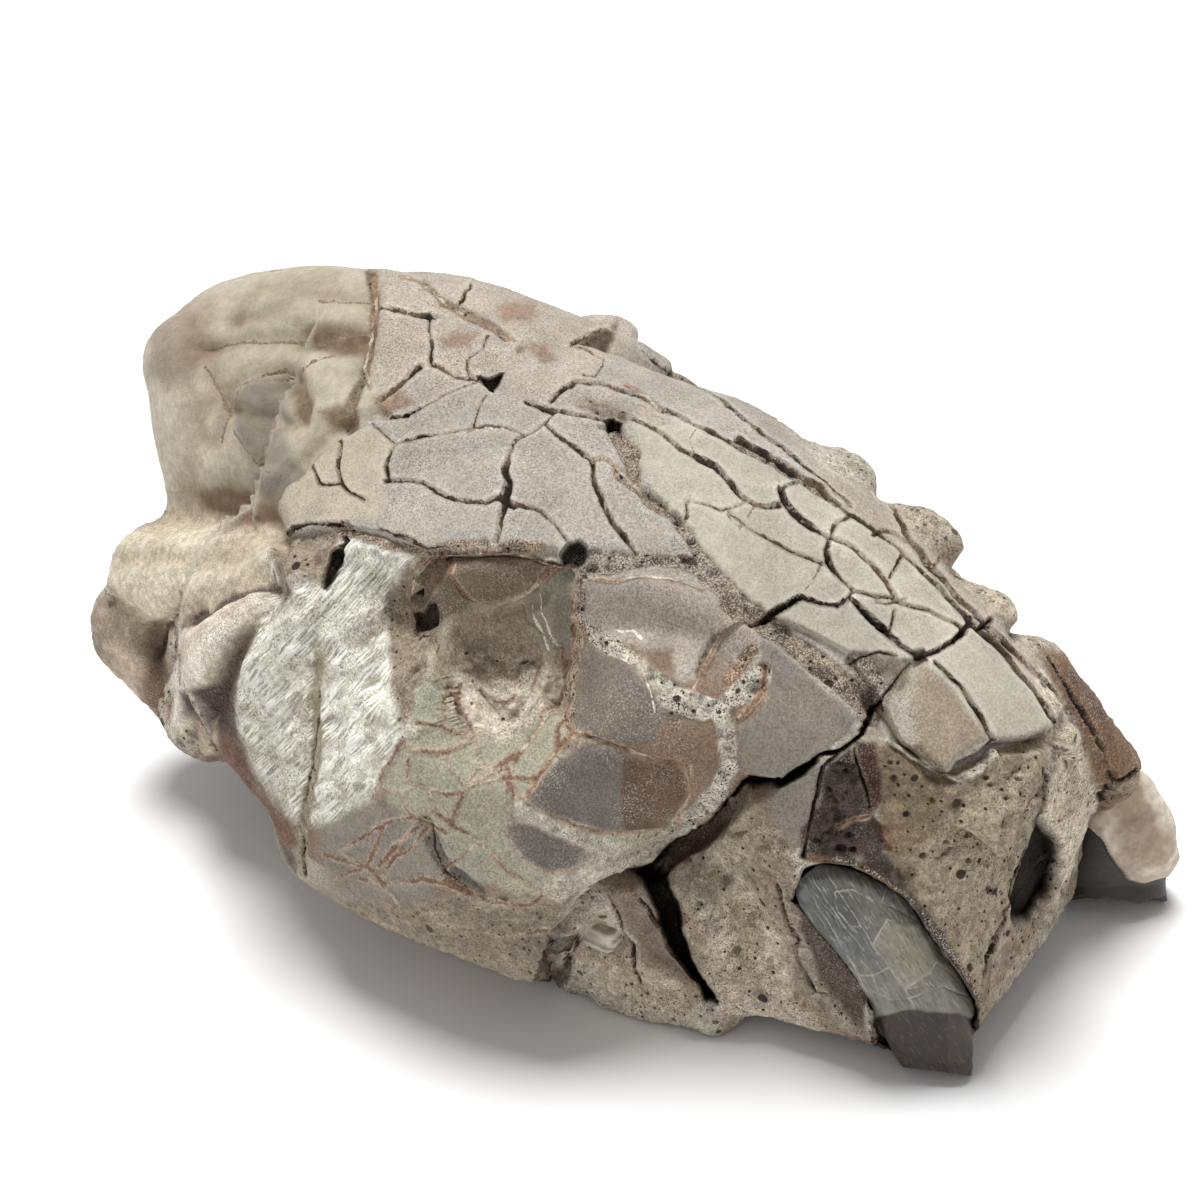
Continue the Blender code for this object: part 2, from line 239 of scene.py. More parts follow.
print("the roof is", round(float(through(60.0, ROOF_X, ROOF_Z)), 1), "mm high at its top")

# %% [markdown]
# Cheeks, the broken arch behind them and the stone below the palate come next. A mirrored point
# gives both sides from one description. A few loose lumps of stone that cling to the left edge are
# added one by one, because nothing mirrors them.

# %% Cheeks, palate and the whole skull
ORBIT = (117, -47, 65.5)
ORBIT_RADII = (14, 16, 15.5)
REST_LUMP = (78, 0, 12)
REST_RADII = (42, 26, 16)
LEFT_STONES = (
    ((71, 35, 77.5), (8, 6.5, 3)),
    ((131, 18, 69.5), (6.5, 5, 4)),
    ((145, 15, 64), (8, 4.5, 4.5)),
    ((156, 13.5, 56), (7, 4, 3)),
    ((163, 13, 48.5), (5, 3.6, 3.6)),
    ((164, 10, 27), (12, 10.5, 15)),
)
LEFT_SNOUT_BONE = ((165, 15, 46), (175, 20.5, 30), 5.8, 5.0)


def sides(m, left):
    """Forms on both sides: m is the point mirrored onto the right side."""
    loss = np.where(left, LEFT_LOSS, 0)
    d = lump(m, (69, -36, 47), (26, 21, 29))
    d = join(d, lump(m, (93, -38, 34), (36, 21, 26)), 6)
    d = join(d, roll(m, (80, -51, 25), (117, -47, 20), 8, 6.5), 5)
    d = join(d, roll(m, (108, -34, 48), (144, -15, 51), 18, 14) + loss, 5)
    d = join(d, roll(m, (19, -31, 45), (46, -34, 54), 11, 9), 3)
    d = join(d, roll(m, (36, -39, 27), (58, -42, 50), 9, 10), 3)
    d = join(d, roll(m, (11, -31, 33), (25, -34, 26), 12.5, 9.5), 4)
    d = join(d, lump(m, (34, -24, 44), (22, 16, 13)), 4)
    return join(d, roll(m, (144, -20, 38), (166, -21, 14), 11, 8) + loss, 4)


def underside(p, m):
    """Stone that fills the palate, and the rows of the cheek teeth."""
    d = block(p, (86, 0, 32), (48, 30, 28), 12)
    d = join(d, block(p, (40, 0, 42), (30, 26, 22), 14), 8)
    d = join(d, lump(p, REST_LUMP, REST_RADII), 4)
    d = join(d, block(m, (114, -31, 14), (27, 8, 15), 4, yaw=10), 4)
    return join(d, roll(m, (138, -24, 10), (160, -18, 9), 9, 7), 4)


def skull_distance(p):
    """Distance from points p to the skull, negative inside."""
    x, y, z = p[..., 0], p[..., 1], p[..., 2]
    m = np.stack([x, -np.abs(y), z], -1)
    ceiling, half = roof_height(x, y)
    d = join(snout(p, ceiling), sides(m, y > 0), 5)
    d = join(d, underside(p, m), 6)
    d = join(d, roll(p, (158, 15, 40), (172, 23, 28), 9, 7), 5)
    beside = np.maximum(np.abs(y) - half, 0) * 0.6
    over = (z - ceiling + beside + 1) * 0.85 - np.maximum(PLATES_START + 6 - x, 0)
    d = cut(d, over, 3)
    d = join(d, braincase(p), 6)
    d = join(d, plates(p, ceiling, half), 1.5)
    for centre, radii in LEFT_STONES:
        d = join(d, lump(p, centre, radii), 3)
    d = join(d, roll(p, *LEFT_SNOUT_BONE), 2)
    d = cut(d, -lump(m, ORBIT, ORBIT_RADII), 4)
    suture = np.maximum(1 - np.abs(y) / 3, 0) * np.clip((x - 120) / 20, 0, 1) * (z > 40)
    return d + 0.6 * suture


print("inside the braincase the distance is", skull_distance(np.array([[38.0, 0, 60]])))

# %% [markdown]
# ## A net thrown over the forms
# The surface itself is a function of two numbers: how far along the spine a ring
# stands, and how far round the ring a point lies. From each such pair a ray looks
# back in at the skull from outside, and it stops where the distance is nothing. The
# rings stand closer together at the face and the points closer on the right side,
# where there is most to see. A coarse net is walked first, and the fine net starts
# just outside it, which saves most of the work.

# %% Rings, rays and the walk inwards
COARSER = 1
STEP = 6
REAR_RINGS, BODY_RINGS, FRONT_RINGS = 108 // COARSER, 318 // COARSER, 174 // COARSER
RINGS = REAR_RINGS + BODY_RINGS + FRONT_RINGS + 1
COLUMNS = 612 // COARSER
SPINE_REAR = np.array([26.0, 0.0, 46.0])
SPINE_FRONT = np.array([140.0, 0.0, 36.0])
REACH, LEAST_REACH = 112.0, 2.0
CAUTION = 0.7
COARSE_STEPS, FINE_STEPS = 90, 26
POLE_TILT = 89.6


def ring_places(s):
    """Start on the spine and tilt of each ring: it fans out at both ends."""
    tilt = np.interp(s, (0, REAR_RINGS, REAR_RINGS + BODY_RINGS, RINGS - 1),
                     (-POLE_TILT, 0, 0, POLE_TILT))
    along = np.clip((s - REAR_RINGS) / BODY_RINGS, 0, 1)
    return SPINE_REAR + along[:, None] * (SPINE_FRONT - SPINE_REAR), np.radians(tilt)


def column_turns():
    """Turn of each column: its density is highest on the right side and the roof."""
    fine = np.linspace(0, 2 * np.pi, 4001)
    density = 0.62 + 0.95 * np.clip(1.3 * np.cos(fine - np.radians(38)) + 0.45, 0, 1)
    total = np.concatenate([[0], np.cumsum((density[1:] + density[:-1]) / 2)])
    return np.interp(np.arange(COLUMNS) / COLUMNS, total / total[-1], fine)


def rays(s, turn):
    """Start and direction of the ray of each ring and column."""
    start, tilt = ring_places(s)
    across = np.stack([0 * turn, -np.sin(turn), np.cos(turn)], -1)
    direction = np.cos(tilt)[:, None, None] * across
    direction[..., 0] = np.sin(tilt)[:, None]
    return np.repeat(start[:, None], len(turn), 1), direction


def walk(start, direction, reach, steps):
    """Reach along each ray, less a share of the distance at every step."""
    for _ in range(steps):
        d = skull_distance(start + direction * reach[..., None])
        reach = np.maximum(reach - CAUTION * d, LEAST_REACH)
    return reach


turns = column_turns()
all_rings = np.arange(RINGS, dtype=float)
coarse_start, coarse_way = rays(all_rings[::STEP], turns[::STEP])
coarse = np.full(coarse_way.shape[:2], REACH)
coarse = walk(coarse_start, coarse_way, coarse, COARSE_STEPS)
high = np.maximum(coarse, np.roll(coarse, -1, 1))
high = np.maximum(high[:-1], high[1:])
high = np.repeat(np.repeat(high, STEP, 0), STEP, 1)
high = np.concatenate([high, high[-1:]])[:, :COLUMNS]
ray_start, ray_way = rays(all_rings, turns)
reach = walk(ray_start, ray_way, high + 1.0, FINE_STEPS)
P = ray_start + ray_way * reach[..., None]
print("net of", RINGS, "rings and", COLUMNS, "columns, box", P.min((0, 1)), P.max((0, 1)))

# %% [markdown]
# ## What the eye sees of the net
# Each point knows which way it faces, and a small depth map, five steps of the
# picture to a cell, tells which points are hidden behind nearer ones. Cracks that
# are laid down in the picture then only mark the points that are really seen.

# %% Facing and hidden points
CELL = 5.0
CELLS = int(2 * MIDDLE / CELL)
FARTHEST = 1e9
BEHIND = 5.0


def facing_of(points):
    """Outward normal of the net: the column step crossed with the ring step."""
    ring_step = np.gradient(points, axis=0)
    column_step = np.roll(points, -1, 1) - np.roll(points, 1, 1)
    return unit(np.cross(column_step, ring_step))


def seen_by_eye(points, normals):
    """0 to 1: the point turns to the eye, and nothing stands in front of it. And
    yes or no: the same with the rim that turns just away."""
    across, down, depth = picture(points)
    turned = -(unit(points - EYE) * normals).sum(-1)
    row = np.clip((down / CELL).astype(int), 0, CELLS - 1)
    column = np.clip((across / CELL).astype(int), 0, CELLS - 1)
    nearest = np.full((CELLS, CELLS), FARTHEST)
    np.minimum.at(nearest, (row, column), np.where(turned > 0, depth, FARTHEST))
    clear = depth < nearest[row, column] + BEHIND
    return np.clip((turned + 0.03) / 0.13, 0, 1) * clear, clear & (turned > -0.6)


N = facing_of(P)
across, down, depth = picture(P)
seen, with_rim = seen_by_eye(P, N)
print("share of the net that is seen:", round(float((seen > 0.5).mean()), 2))

# %% [markdown]
# ## Noise, the hand of weather
# Nothing on a fossil is even. Value noise puts random numbers on a lattice and mixes
# them smoothly; octaves of it at ever smaller sizes give relief like broken stone.

# %% Noise
LATTICE = 32


def ease(x, low, high):
    """0 below low, 1 above high, and a smooth S between them."""
    t = np.clip((x - low) / (high - low), 0, 1)
    return t * t * (3 - 2 * t)


def noise(p, size, seed):
    """Random numbers on a lattice, mixed with smooth weights, from -1 to 1."""
    lattice = np.random.default_rng(seed).uniform(-1, 1, (LATTICE,) * 3).astype(np.float32)
    q = p / size
    i = np.floor(q).astype(np.int64)
    t = q - i
    t = t * t * (3 - 2 * t)
    total = 0
    for corner in range(8):
        step = np.array([corner & 1, corner >> 1 & 1, corner >> 2])
        weight = np.where(step, t, 1 - t).prod(-1)
        at = (i + step) & (LATTICE - 1)
        total = total + weight * lattice[at[..., 0], at[..., 1], at[..., 2]]
    return total


def fractal(p, size, octaves, seed):
    """Sum of noises, each half as large and half as strong as the one before."""
    total = 0
    for k in range(octaves):
        total = total + noise(p, size / 2**k, seed + k) / 2**k
    return total


print("noise at three points", noise(np.array([[0.5, 1, 2], [9, 9, 9], [3, 2, 1.0]]), 4, 1))

# %% Cells
SPOTS = 16


def cells(p, size, seed):
    """Random points on a lattice: distance to the wall between the two nearest."""
    spots = np.random.default_rng(seed).uniform(0.08, 0.92, (SPOTS,) * 3 + (3,))
    values = np.random.default_rng(seed + 1).uniform(0, 1, (SPOTS,) * 3)
    q = p / size
    i = np.floor(q).astype(np.int64)
    first = np.full(p.shape[:-1], FARTHEST)
    second = first.copy()
    near, next_near = np.zeros_like(p), np.zeros_like(p)
    value = np.zeros(p.shape[:-1])
    for k in range(27):
        cell = i + np.array([k % 3 - 1, k // 3 % 3 - 1, k // 9 - 1])
        at = cell & (SPOTS - 1)
        spot = cell + spots[at[..., 0], at[..., 1], at[..., 2]]
        d = ((q - spot) ** 2).sum(-1)
        nearer = d < first
        between = ~nearer & (d < second)
        second = np.where(nearer, first, np.where(between, d, second))
        next_near = np.where(nearer[..., None], near,
                             np.where(between[..., None], spot, next_near))
        first = np.where(nearer, d, first)
        near = np.where(nearer[..., None], spot, near)
        value = np.where(nearer, values[at[..., 0], at[..., 1], at[..., 2]], value)
    apart = np.linalg.norm(next_near - near, axis=-1) + 1e-9
    return (second - first) / (2 * apart) * size, value, (next_near - near) / apart[..., None]


print("way to the nearest wall, value and direction", cells(np.ones((1, 3)), 4, 1))

# %% [markdown]
# ## Cracks
# Drying and the weight of the rock broke the bone into plates. The open cracks are
# dark; others are filled with rusty or pinkish mineral. A crack is a chain of places
# in the picture with half a width, in steps of the picture, and a depth in
# millimetres. Long chains come first, and small ones branch from them.

# %% Open cracks of the roof
OPEN_CRACKS = (
    (1.5, 1.1, (380, 418, 408, 416, 436, 399, 464, 387, 478, 382, 492, 392)),
    (1.9, 1.3, (526, 402, 541, 408, 556, 413, 587, 417, 604, 420, 613, 425)),
    (1.3, 0.9, (398, 443, 422, 437, 445, 434, 471, 429, 487, 426, 503, 427, 526, 435, 537, 430,
        546, 424, 554, 416)),
    (0.8, 0.5, (472, 428, 478, 410, 487, 396)),
    (1.8, 1.2, (546, 427, 558, 437, 571, 446, 594, 461)),
    (2.2, 1.5, (592, 463, 593, 478, 597, 490, 604, 506, 613, 524, 624, 538, 636, 553)),
    (1.4, 0.9, (594, 461, 606, 461, 620, 471)),
    (2.3, 1.3, (547, 423, 530, 434, 516, 442, 509, 458, 506, 469)),
    (3.6, 2.2, (508, 463, 505, 472, 510, 483, 505, 498)),
    (3.0, 1.8, (500, 499, 514, 506)),
    (2.3, 1.0, (505, 504, 501, 520, 497, 540)),
    (1.7, 1.2, (386, 480, 408, 481, 424, 484, 438, 492, 452, 499, 470, 502, 487, 503, 503, 498)),
    (1.8, 1.3, (510, 503, 524, 506, 537, 511, 548, 519, 558, 528, 565, 538, 571, 545)),
    (1.3, 0.8, (388, 480, 387, 464, 391, 450, 398, 443)),
    (0.9, 0.6, (380, 528, 397, 533, 414, 539, 428, 547, 445, 545)),
    (2.1, 1.5, (634, 420, 648, 427, 662, 436, 682, 451, 697, 459, 713, 467, 728, 482, 740, 496,
        754, 507, 768, 508, 778, 507)),
    (3.0, 1.8, (780, 490, 783, 503, 793, 514, 803, 523, 818, 533, 828, 541)),
    (1.7, 1.1, (686, 520, 687, 502, 704, 506, 720, 513, 732, 509, 742, 504)),
    (1.0, 0.6, (727, 514, 742, 524, 758, 535, 774, 544, 788, 551, 805, 558, 821, 565)),
    (2.8, 1.8, (750, 624, 764, 619, 781, 608, 801, 597, 818, 603, 835, 607, 848, 598)),
    (1.9, 1.3, (779, 490, 786, 485, 795, 484)),
    (3.0, 1.9, (828, 541, 825, 551, 828, 563, 836, 574, 844, 583, 852, 590, 848, 599)),
    (1.9, 1.2, (830, 540, 832, 530, 836, 525, 847, 520)),
    (1.3, 0.9, (831, 538, 843, 543, 856, 551, 870, 566, 885, 582, 890, 591, 895, 598)),
    (0.9, 0.6, (902, 556, 895, 567, 889, 579)),
    (1.7, 1.2, (852, 590, 872, 596, 891, 598, 902, 605, 915, 608, 929, 612, 947, 621, 963, 631)),
    (0.8, 0.5, (894, 611, 891, 624, 888, 634)),
    (0.8, 0.5, (876, 602, 886, 604, 896, 603, 904, 600)),
    (1.4, 0.9, (872, 536, 882, 529, 894, 533, 907, 541, 920, 552)),
    (0.8, 0.5, (931, 569, 936, 561, 941, 556)),
    (1.5, 0.9, (663, 410, 680, 418, 694, 426, 711, 434, 726, 442, 742, 451)),
    (3.2, 1.3, (737, 441, 752, 448, 768, 457, 782, 466, 795, 474, 806, 481, 818, 488, 835, 504)),
    (3.0, 1.7, (835, 505, 846, 515, 862, 524, 878, 534, 895, 546, 908, 557, 921, 570)),
    (3.6, 2.4, (921, 570, 932, 581, 944, 594, 956, 607, 967, 619)),
    (2.8, 1.8, (967, 619, 980, 628, 990, 620)),
    (3.0, 2.2, (969, 622, 963, 632, 950, 643, 938, 649, 929, 653, 915, 658)),
    (3.2, 2.4, (916, 659, 903, 648, 892, 640, 879, 629, 868, 618, 858, 606, 850, 598)),
    (2.2, 1.4, (934, 662, 947, 675, 962, 690, 976, 711, 984, 725, 993, 740)),
    (1.7, 1.1, (910, 663, 898, 678, 885, 695, 871, 712, 860, 730)),
    (2.8, 1.6, (981, 630, 992, 641, 1003, 652, 1017, 670, 1030, 687, 1041, 703, 1053, 720)),
    (1.1, 0.7, (852, 662, 862, 655, 879, 652, 896, 656)),
)
print(len(OPEN_CRACKS), "open cracks on the roof")

# %% Cracks of the back, the cheek and the snout
BACK_CRACKS = (
    (1.3, 0.8, (470, 286, 459, 303)),
    (1.3, 0.7, (380, 306, 392, 310, 405, 313, 419, 316, 436, 318)),
    (1.7, 0.7, (430, 316, 429, 330, 432, 346, 431, 363, 444, 370, 456, 376, 478, 379)),
    (1.4, 0.9, (487, 337, 483, 349, 466, 359, 466, 368, 471, 377)),
    (1.9, 1.1, (380, 398, 390, 392, 399, 385, 410, 374, 421, 366)),
    (1.2, 0.8, (550, 402, 563, 390, 576, 383, 600, 385, 622, 393, 647, 401, 663, 411)),
    (0.9, 0.5, (569, 347, 588, 352, 604, 361, 600, 371, 594, 379, 582, 377)),
    (2.0, 1.4, (572, 344, 585, 336, 600, 330)),
    (1.4, 0.9, (282, 532, 308, 524, 340, 523)),
    (1.8, 1.2, (340, 536, 343, 555, 334, 575, 325, 589)),
    (1.1, 0.6, (341, 442, 339, 469, 347, 489, 366, 501)),
    (1.1, 0.6, (314, 467, 322, 484, 341, 484)),
    (1.1, 0.6, (374, 425, 394, 442)),
    (0.6, 0.3, (319, 690, 317, 720, 315, 744)),
    (1.3, 0.7, (313, 746, 311, 762, 308, 780, 304, 800)),
    (1.2, 0.8, (303, 836, 301, 852, 302, 866, 305, 876)),
    (0.9, 0.5, (565, 686, 563, 701, 551, 712, 544, 719)),
    (1.0, 0.6, (532, 733, 525, 743, 515, 760)),
    (0.8, 0.4, (477, 690, 486, 697, 495, 701, 504, 703, 509, 710)),
    (0.8, 0.4, (446, 686, 456, 704, 460, 714)),
    (0.7, 0.3, (442, 694, 443, 712, 445, 732)),
    (0.7, 0.3, (415, 722, 428, 724, 442, 727, 456, 735, 470, 736)),
    (0.8, 0.4, (432, 684, 440, 679, 448, 677)),
    (0.9, 0.5, (413, 631, 424, 636, 436, 637, 440, 646, 437, 656)),
    (0.8, 0.4, (431, 828, 433, 851, 442, 873, 464, 887)),
    (2.0, 1.8, (545, 985, 556, 966, 566, 948, 576, 915, 588, 894)),
    (1.5, 1.0, (603, 880, 622, 925, 640, 985)),
    (1.2, 0.8, (640, 900, 690, 980)),
)
SNOUT_CRACKS = (
    (1.5, 0.8, (854, 750, 862, 778, 870, 808)),
    (1.6, 3.2, (883, 699, 861, 735, 840, 750, 819, 754, 806, 764)),
    (2.6, 1.6, (1098, 796, 1112, 784, 1137, 771)),
    (2.4, 6.0, (815, 758, 800, 770, 778, 780, 757, 783, 740, 790, 722, 808)),
    (1.6, 4.0, (722, 808, 711, 822, 694, 831, 669, 846, 653, 862)),
    (2.0, 1.3, (797, 906, 819, 931, 841, 959, 856, 984, 862, 1006)),
    (1.5, 1.2, (775, 887, 794, 937, 797, 959, 816, 991, 831, 1000)),
    (2.0, 1.4, (803, 856, 822, 768, 850, 744)),
    (1.8, 1.2, (1044, 769, 1041, 812, 1031, 837, 1012, 881, 1006, 919, 981, 975)),
    (2.2, 1.8, (1047, 656, 1069, 690, 1094, 730, 1112, 775, 1094, 831)),
    (1.4, 0.9, (640, 350, 668, 372, 720, 400, 756, 430, 800, 462, 850, 505)),
    (1.4, 1.0, (885, 490, 905, 535, 950, 590, 1000, 640, 1050, 690)),
)
print(len(BACK_CRACKS), "cracks behind and", len(SNOUT_CRACKS), "on the snout")

# %% [markdown]
# Some cracks were healed by minerals while the bone lay in the ground. Iron left rust
# in the wide ones, and the crushed bone of the cheek is held together by a net of
# thin pinkish veins. They are shallow, and they get a colour of their own.

# %% Filled seams and veins
RUST_SEAMS = (
    (1.4, 0.5, (595, 459, 604, 458, 622, 470, 634, 484, 650, 501, 664, 512, 681, 523, 687, 533)),
    (0.9, 0.5, (400, 277, 424, 285, 436, 296, 447, 306, 464, 315, 481, 323, 501, 333, 514, 341)),
    (1.6, 0.4, (374, 277, 374, 305, 369, 332, 363, 365, 369, 387)),
    (1.8, 0.4, (624, 385, 644, 396, 661, 410)),
    (1.6, 0.5, (571, 578, 571, 620, 574, 628, 569, 653, 569, 678, 564, 686)),
    (1.8, 0.3, (574, 733, 593, 736, 613, 744, 633, 752, 661, 761, 689, 767)),
    (2.0, 0.3, (574, 733, 554, 752, 543, 769, 529, 795)),
    (1.0, 0.4, (412, 604, 413, 591, 415, 576, 421, 563, 430, 557, 448, 552, 470, 549, 492, 547,
        510, 551, 528, 558, 545, 564, 560, 570)),
    (1.8, 0.5, (566, 642, 564, 668, 556, 696, 545, 716, 530, 738, 518, 750)),
    (1.6, 0.5, (556, 650, 553, 672, 544, 694, 532, 712, 518, 727)),
    (1.6, 0.5, (480, 690, 489, 698, 497, 712, 506, 705, 514, 697)),
    (1.6, 0.4, (448, 683, 456, 696, 462, 712, 470, 726)),
    (1.6, 0.3, (690, 700, 703, 670, 711, 654, 724, 628, 739, 618)),
    (1.5, 0.3, (421, 557, 436, 562, 448, 569, 454, 580, 460, 590, 472, 602, 486, 605, 501, 606,
        513, 603, 523, 598, 532, 592, 540, 585, 548, 579, 556, 573)),
    (1.5, 0.3, (416, 568, 414, 590, 413, 610, 413, 626)),
    (2.4, 0.4, (740, 719, 752, 706, 764, 690, 764, 666)),
    (1.5, 0.4, (838, 828, 846, 822, 857, 818, 870, 815)),
    (1.4, 0.3, (521, 797, 545, 812, 574, 825, 599, 832, 621, 831, 661, 830)),
    (1.4, 0.3, (582, 576, 610, 581, 647, 576, 677, 581, 703, 590)),
    (1.6, 0.4, (470, 434, 486, 428, 500, 430)),
    (1.4, 0.3, (566, 700, 566, 719, 574, 733)),
    (1.5, 0.3, (690, 765, 689, 781, 691, 797, 680, 809, 677, 828)),
)
VEINS = (
    (2.1, 0.1, (405, 741, 411, 750, 436, 754, 453, 750, 470, 741, 470, 724)),
    (1.9, 0.1, (414, 723, 442, 726, 456, 733, 470, 738)),
    (2.1, 0.1, (478, 741, 478, 761, 470, 783, 459, 803, 450, 823)),
    (1.9, 0.1, (447, 753, 450, 767, 464, 783, 473, 783, 492, 772, 509, 767)),
    (1.9, 0.1, (402, 744, 386, 769, 372, 800)),
    (1.9, 0.1, (408, 758, 408, 781, 428, 789, 447, 795, 464, 792)),
    (2.4, 0.2, (478, 764, 492, 769, 515, 753, 526, 744, 537, 733)),
    (1.9, 0.1, (509, 767, 506, 783, 503, 803, 509, 814)),
    (2.1, 0.1, (507, 775, 521, 778, 535, 779, 548, 764, 556, 749, 564, 740)),
    (2.0, 0.1, (467, 787, 487, 781, 507, 775, 512, 790, 512, 802, 507, 808)),
    (2.0, 0.1, (442, 871, 462, 855, 495, 834, 511, 822)),
    (2.0, 0.1, (384, 875, 393, 859, 413, 847, 425, 830)),
    (2.2, 0.1, (360, 879, 384, 883, 421, 879, 448, 883, 482, 900, 510, 905, 531, 904, 542, 894)),
    (1.8, 0.1, (325, 855, 346, 862, 366, 868, 384, 876)),
    (1.8, 0.1, (330, 880, 350, 872, 366, 868, 374, 850, 386, 824)),
    (1.9, 0.1, (380, 786, 402, 792, 419, 786)),
    (1.9, 0.1, (402, 792, 405, 809, 422, 823, 445, 832)),
    (2.2, 0.1, (380, 865, 397, 845, 416, 828)),
    (2.1, 0.1, (340, 850, 386, 824, 414, 816)),
    (2.2, 0.1, (450, 823, 480, 842, 505, 870, 540, 890)),
    (1.9, 0.1, (340, 850, 372, 872, 400, 905)),
    (2.6, 0.1, (435, 558, 448, 575, 460, 590, 471, 601, 480, 603, 496, 606, 509, 601, 524, 595,
        534, 583, 559, 565)),
    (1.8, 0.2, (445, 679, 443, 711, 445, 732)),
    (1.8, 0.2, (460, 684, 460, 704, 471, 737)),
    (1.9, 0.2, (480, 691, 488, 696, 496, 702, 506, 701)),
    (2.2, 0.2, (564, 687, 559, 704, 546, 717, 534, 732, 524, 746, 513, 760)),
    (1.9, 0.2, (571, 684, 567, 711, 559, 727, 556, 744)),
    (1.9, 0.1, (450, 823, 433, 812, 428, 789)),
    (1.9, 0.1, (503, 823, 509, 840, 526, 862, 548, 873, 576, 868, 588, 848)),
    (1.9, 0.2, (420, 905, 452, 925, 500, 938, 548, 930)),
    (1.9, 0.2, (360, 915, 402, 938, 440, 962)),
)
SCRATCHES = (
    (0.9, 0.0, (536, 600, 545, 620, 551, 638, 556, 654)),
    (0.7, 0.0, (530, 610, 540, 630, 548, 650)),
    (1.0, 0.0, (610, 628, 622, 634, 634, 632, 642, 640)),
    (0.8, 0.0, (640, 665, 650, 690, 656, 712)),
)
FAINT_LINES = (
    (1.2, 0.3, (199, 346, 235, 340, 276, 340, 317, 340, 366, 330)),
    (1.2, 0.3, (317, 299, 369, 298)),
    (1.3, 0.3, (284, 368, 262, 372, 240, 384, 232, 398, 226, 409)),
    (1.2, 0.3, (202, 365, 215, 387, 224, 415, 218, 442)),
    (1.2, 0.3, (240, 384, 290, 376, 330, 352)),
    (1.1, 0.2, (232, 430, 262, 470, 300, 480)),
    (1.0, 0.2, (700, 425, 690, 440, 694, 458)),
    (1.0, 0.2, (756, 505, 740, 530, 725, 516)),
    (0.9, 0.2, (822, 564, 810, 585, 798, 598)),
    (0.9, 0.2, (519, 611, 534, 628, 546, 638, 554, 649)),
)
print(len(RUST_SEAMS), "rusty seams and", len(VEINS), "veins")

# %% [markdown]
# ## Patches of bone and stone
# The skull is a patchwork: smooth grey and purple plates of bone, cream stone between
# them, white stone scraped clean by a tool. A patch is an outline in the picture with
# a colour, a coarseness from 0, smooth bone, to 1, rough stone, a lift by which it
# stands above what lies round it, and the softness of its edge. A band is a patch
# along a chain of places. Two lists name the finishes with few specks: clean bone,
# and the still smoother bone of the braincase.

# %% Colours of the patches


def shade(red, green, blue):
    """Colour from 0 to 255 as the linear light that the shader works in."""
    c = np.array([red, green, blue]) / 255.0
    return np.where(c <= 0.04045, c / 12.92, ((c + 0.055) / 1.055) ** 2.4)


ROOF_BONE = shade(180, 173, 163)
NASAL_BONE = shade(191, 185, 169)
BACK_BONE = shade(190, 179, 165)
LEFT_BONE = shade(182, 172, 158)
CASE_BONE = shade(191, 182, 164)
CASE_SIDE = shade(206, 196, 179)
SLATE = shade(150, 143, 129)
BLOT = shade(164, 140, 120)
WHITE_STONE = shade(240, 237, 223)
CREAM_STONE = shade(216, 207, 190)
BUFF_STONE = shade(168, 153, 133)
FRONT_STONE = shade(150, 133, 110)
TAN_STONE = shade(176, 160, 141)
GREY_PLATE = shade(180, 170, 158)
PURPLE_PLATE = shade(122, 114, 105)
BROWN_PLATE = shade(136, 113, 95)
DARK_PLATE = shade(116, 109, 103)
UMBER_PLATE = shade(104, 85, 70)
CELL_BONE = shade(175, 170, 151)
CHEEK_GREY = shade(144, 136, 124)
ORBIT_BONE = shade(122, 107, 89)
ORBIT_FLOOR = shade(242, 228, 210)
LOBE_BROWN = shade(208, 190, 170)
SHADOW_BROWN = shade(140, 124, 110)
PURPLE_BONE = shade(82, 71, 65)
RED_BONE = shade(84, 58, 52)
# Painted shade: near black for the shade that fills the hollow in front of the snout.
PAINTED_HOLLOW_SHADE = shade(14, 13, 10)
JAW_BROWN = shade(128, 100, 78)
GREEN_GREY = shade(150, 144, 128)
CRACK_DARK = shade(52, 42, 35)
SEAM_BROWN = shade(136, 121, 104)
ORBIT_BACK = shade(184, 170, 149)
THIN_CRACK = shade(116, 95, 78)
SEAM_STONE = shade(152, 134, 115)
SEAM_GREEN = shade(118, 112, 101)
POROUS_STONE = shade(166, 152, 137)
PALE_ROOF = shade(193, 182, 163)
VEIN_SIDE = shade(188, 171, 151)
# Partly real brown, partly painted shade: the brown of the braincase's folds and base.
FOLD_BROWN_AND_SHADE = shade(150, 132, 112)
# Partly the crevices' brown stone, partly painted shade of the clefts beside the rib.
CREVICE_SHADE = shade(112, 97, 86)
SIDE_LUMP = shade(204, 190, 170)
MOSS_TAN = shade(186, 177, 155)
RUST = shade(164, 128, 101)
VEIN_PINK = shade(134, 106, 89)
RIM_STONE = shade(178, 154, 130)
SHIELD_PLATE = shade(141, 133, 123)
ROLL_STONE = shade(228, 217, 195)
PALE_FRONT = shade(186, 172, 150)
RIDGE_STONE = shade(230, 216, 195)
WEDGE_STONE = shade(200, 188, 168)
LOW_CHEEK = shade(164, 152, 134)
GREEN_CELL = shade(176, 174, 156)
SPLINTER = shade(102, 88, 80)
# Painted shade: dark colour for the recess behind the cheek and a hole in the eye socket.
RECESS_SHADE = shade(86, 73, 68)
LOW_PURPLE = shade(128, 99, 83)
RIB_STONE = shade(250, 242, 229)
CASE_SHADE = shade(166, 153, 138)
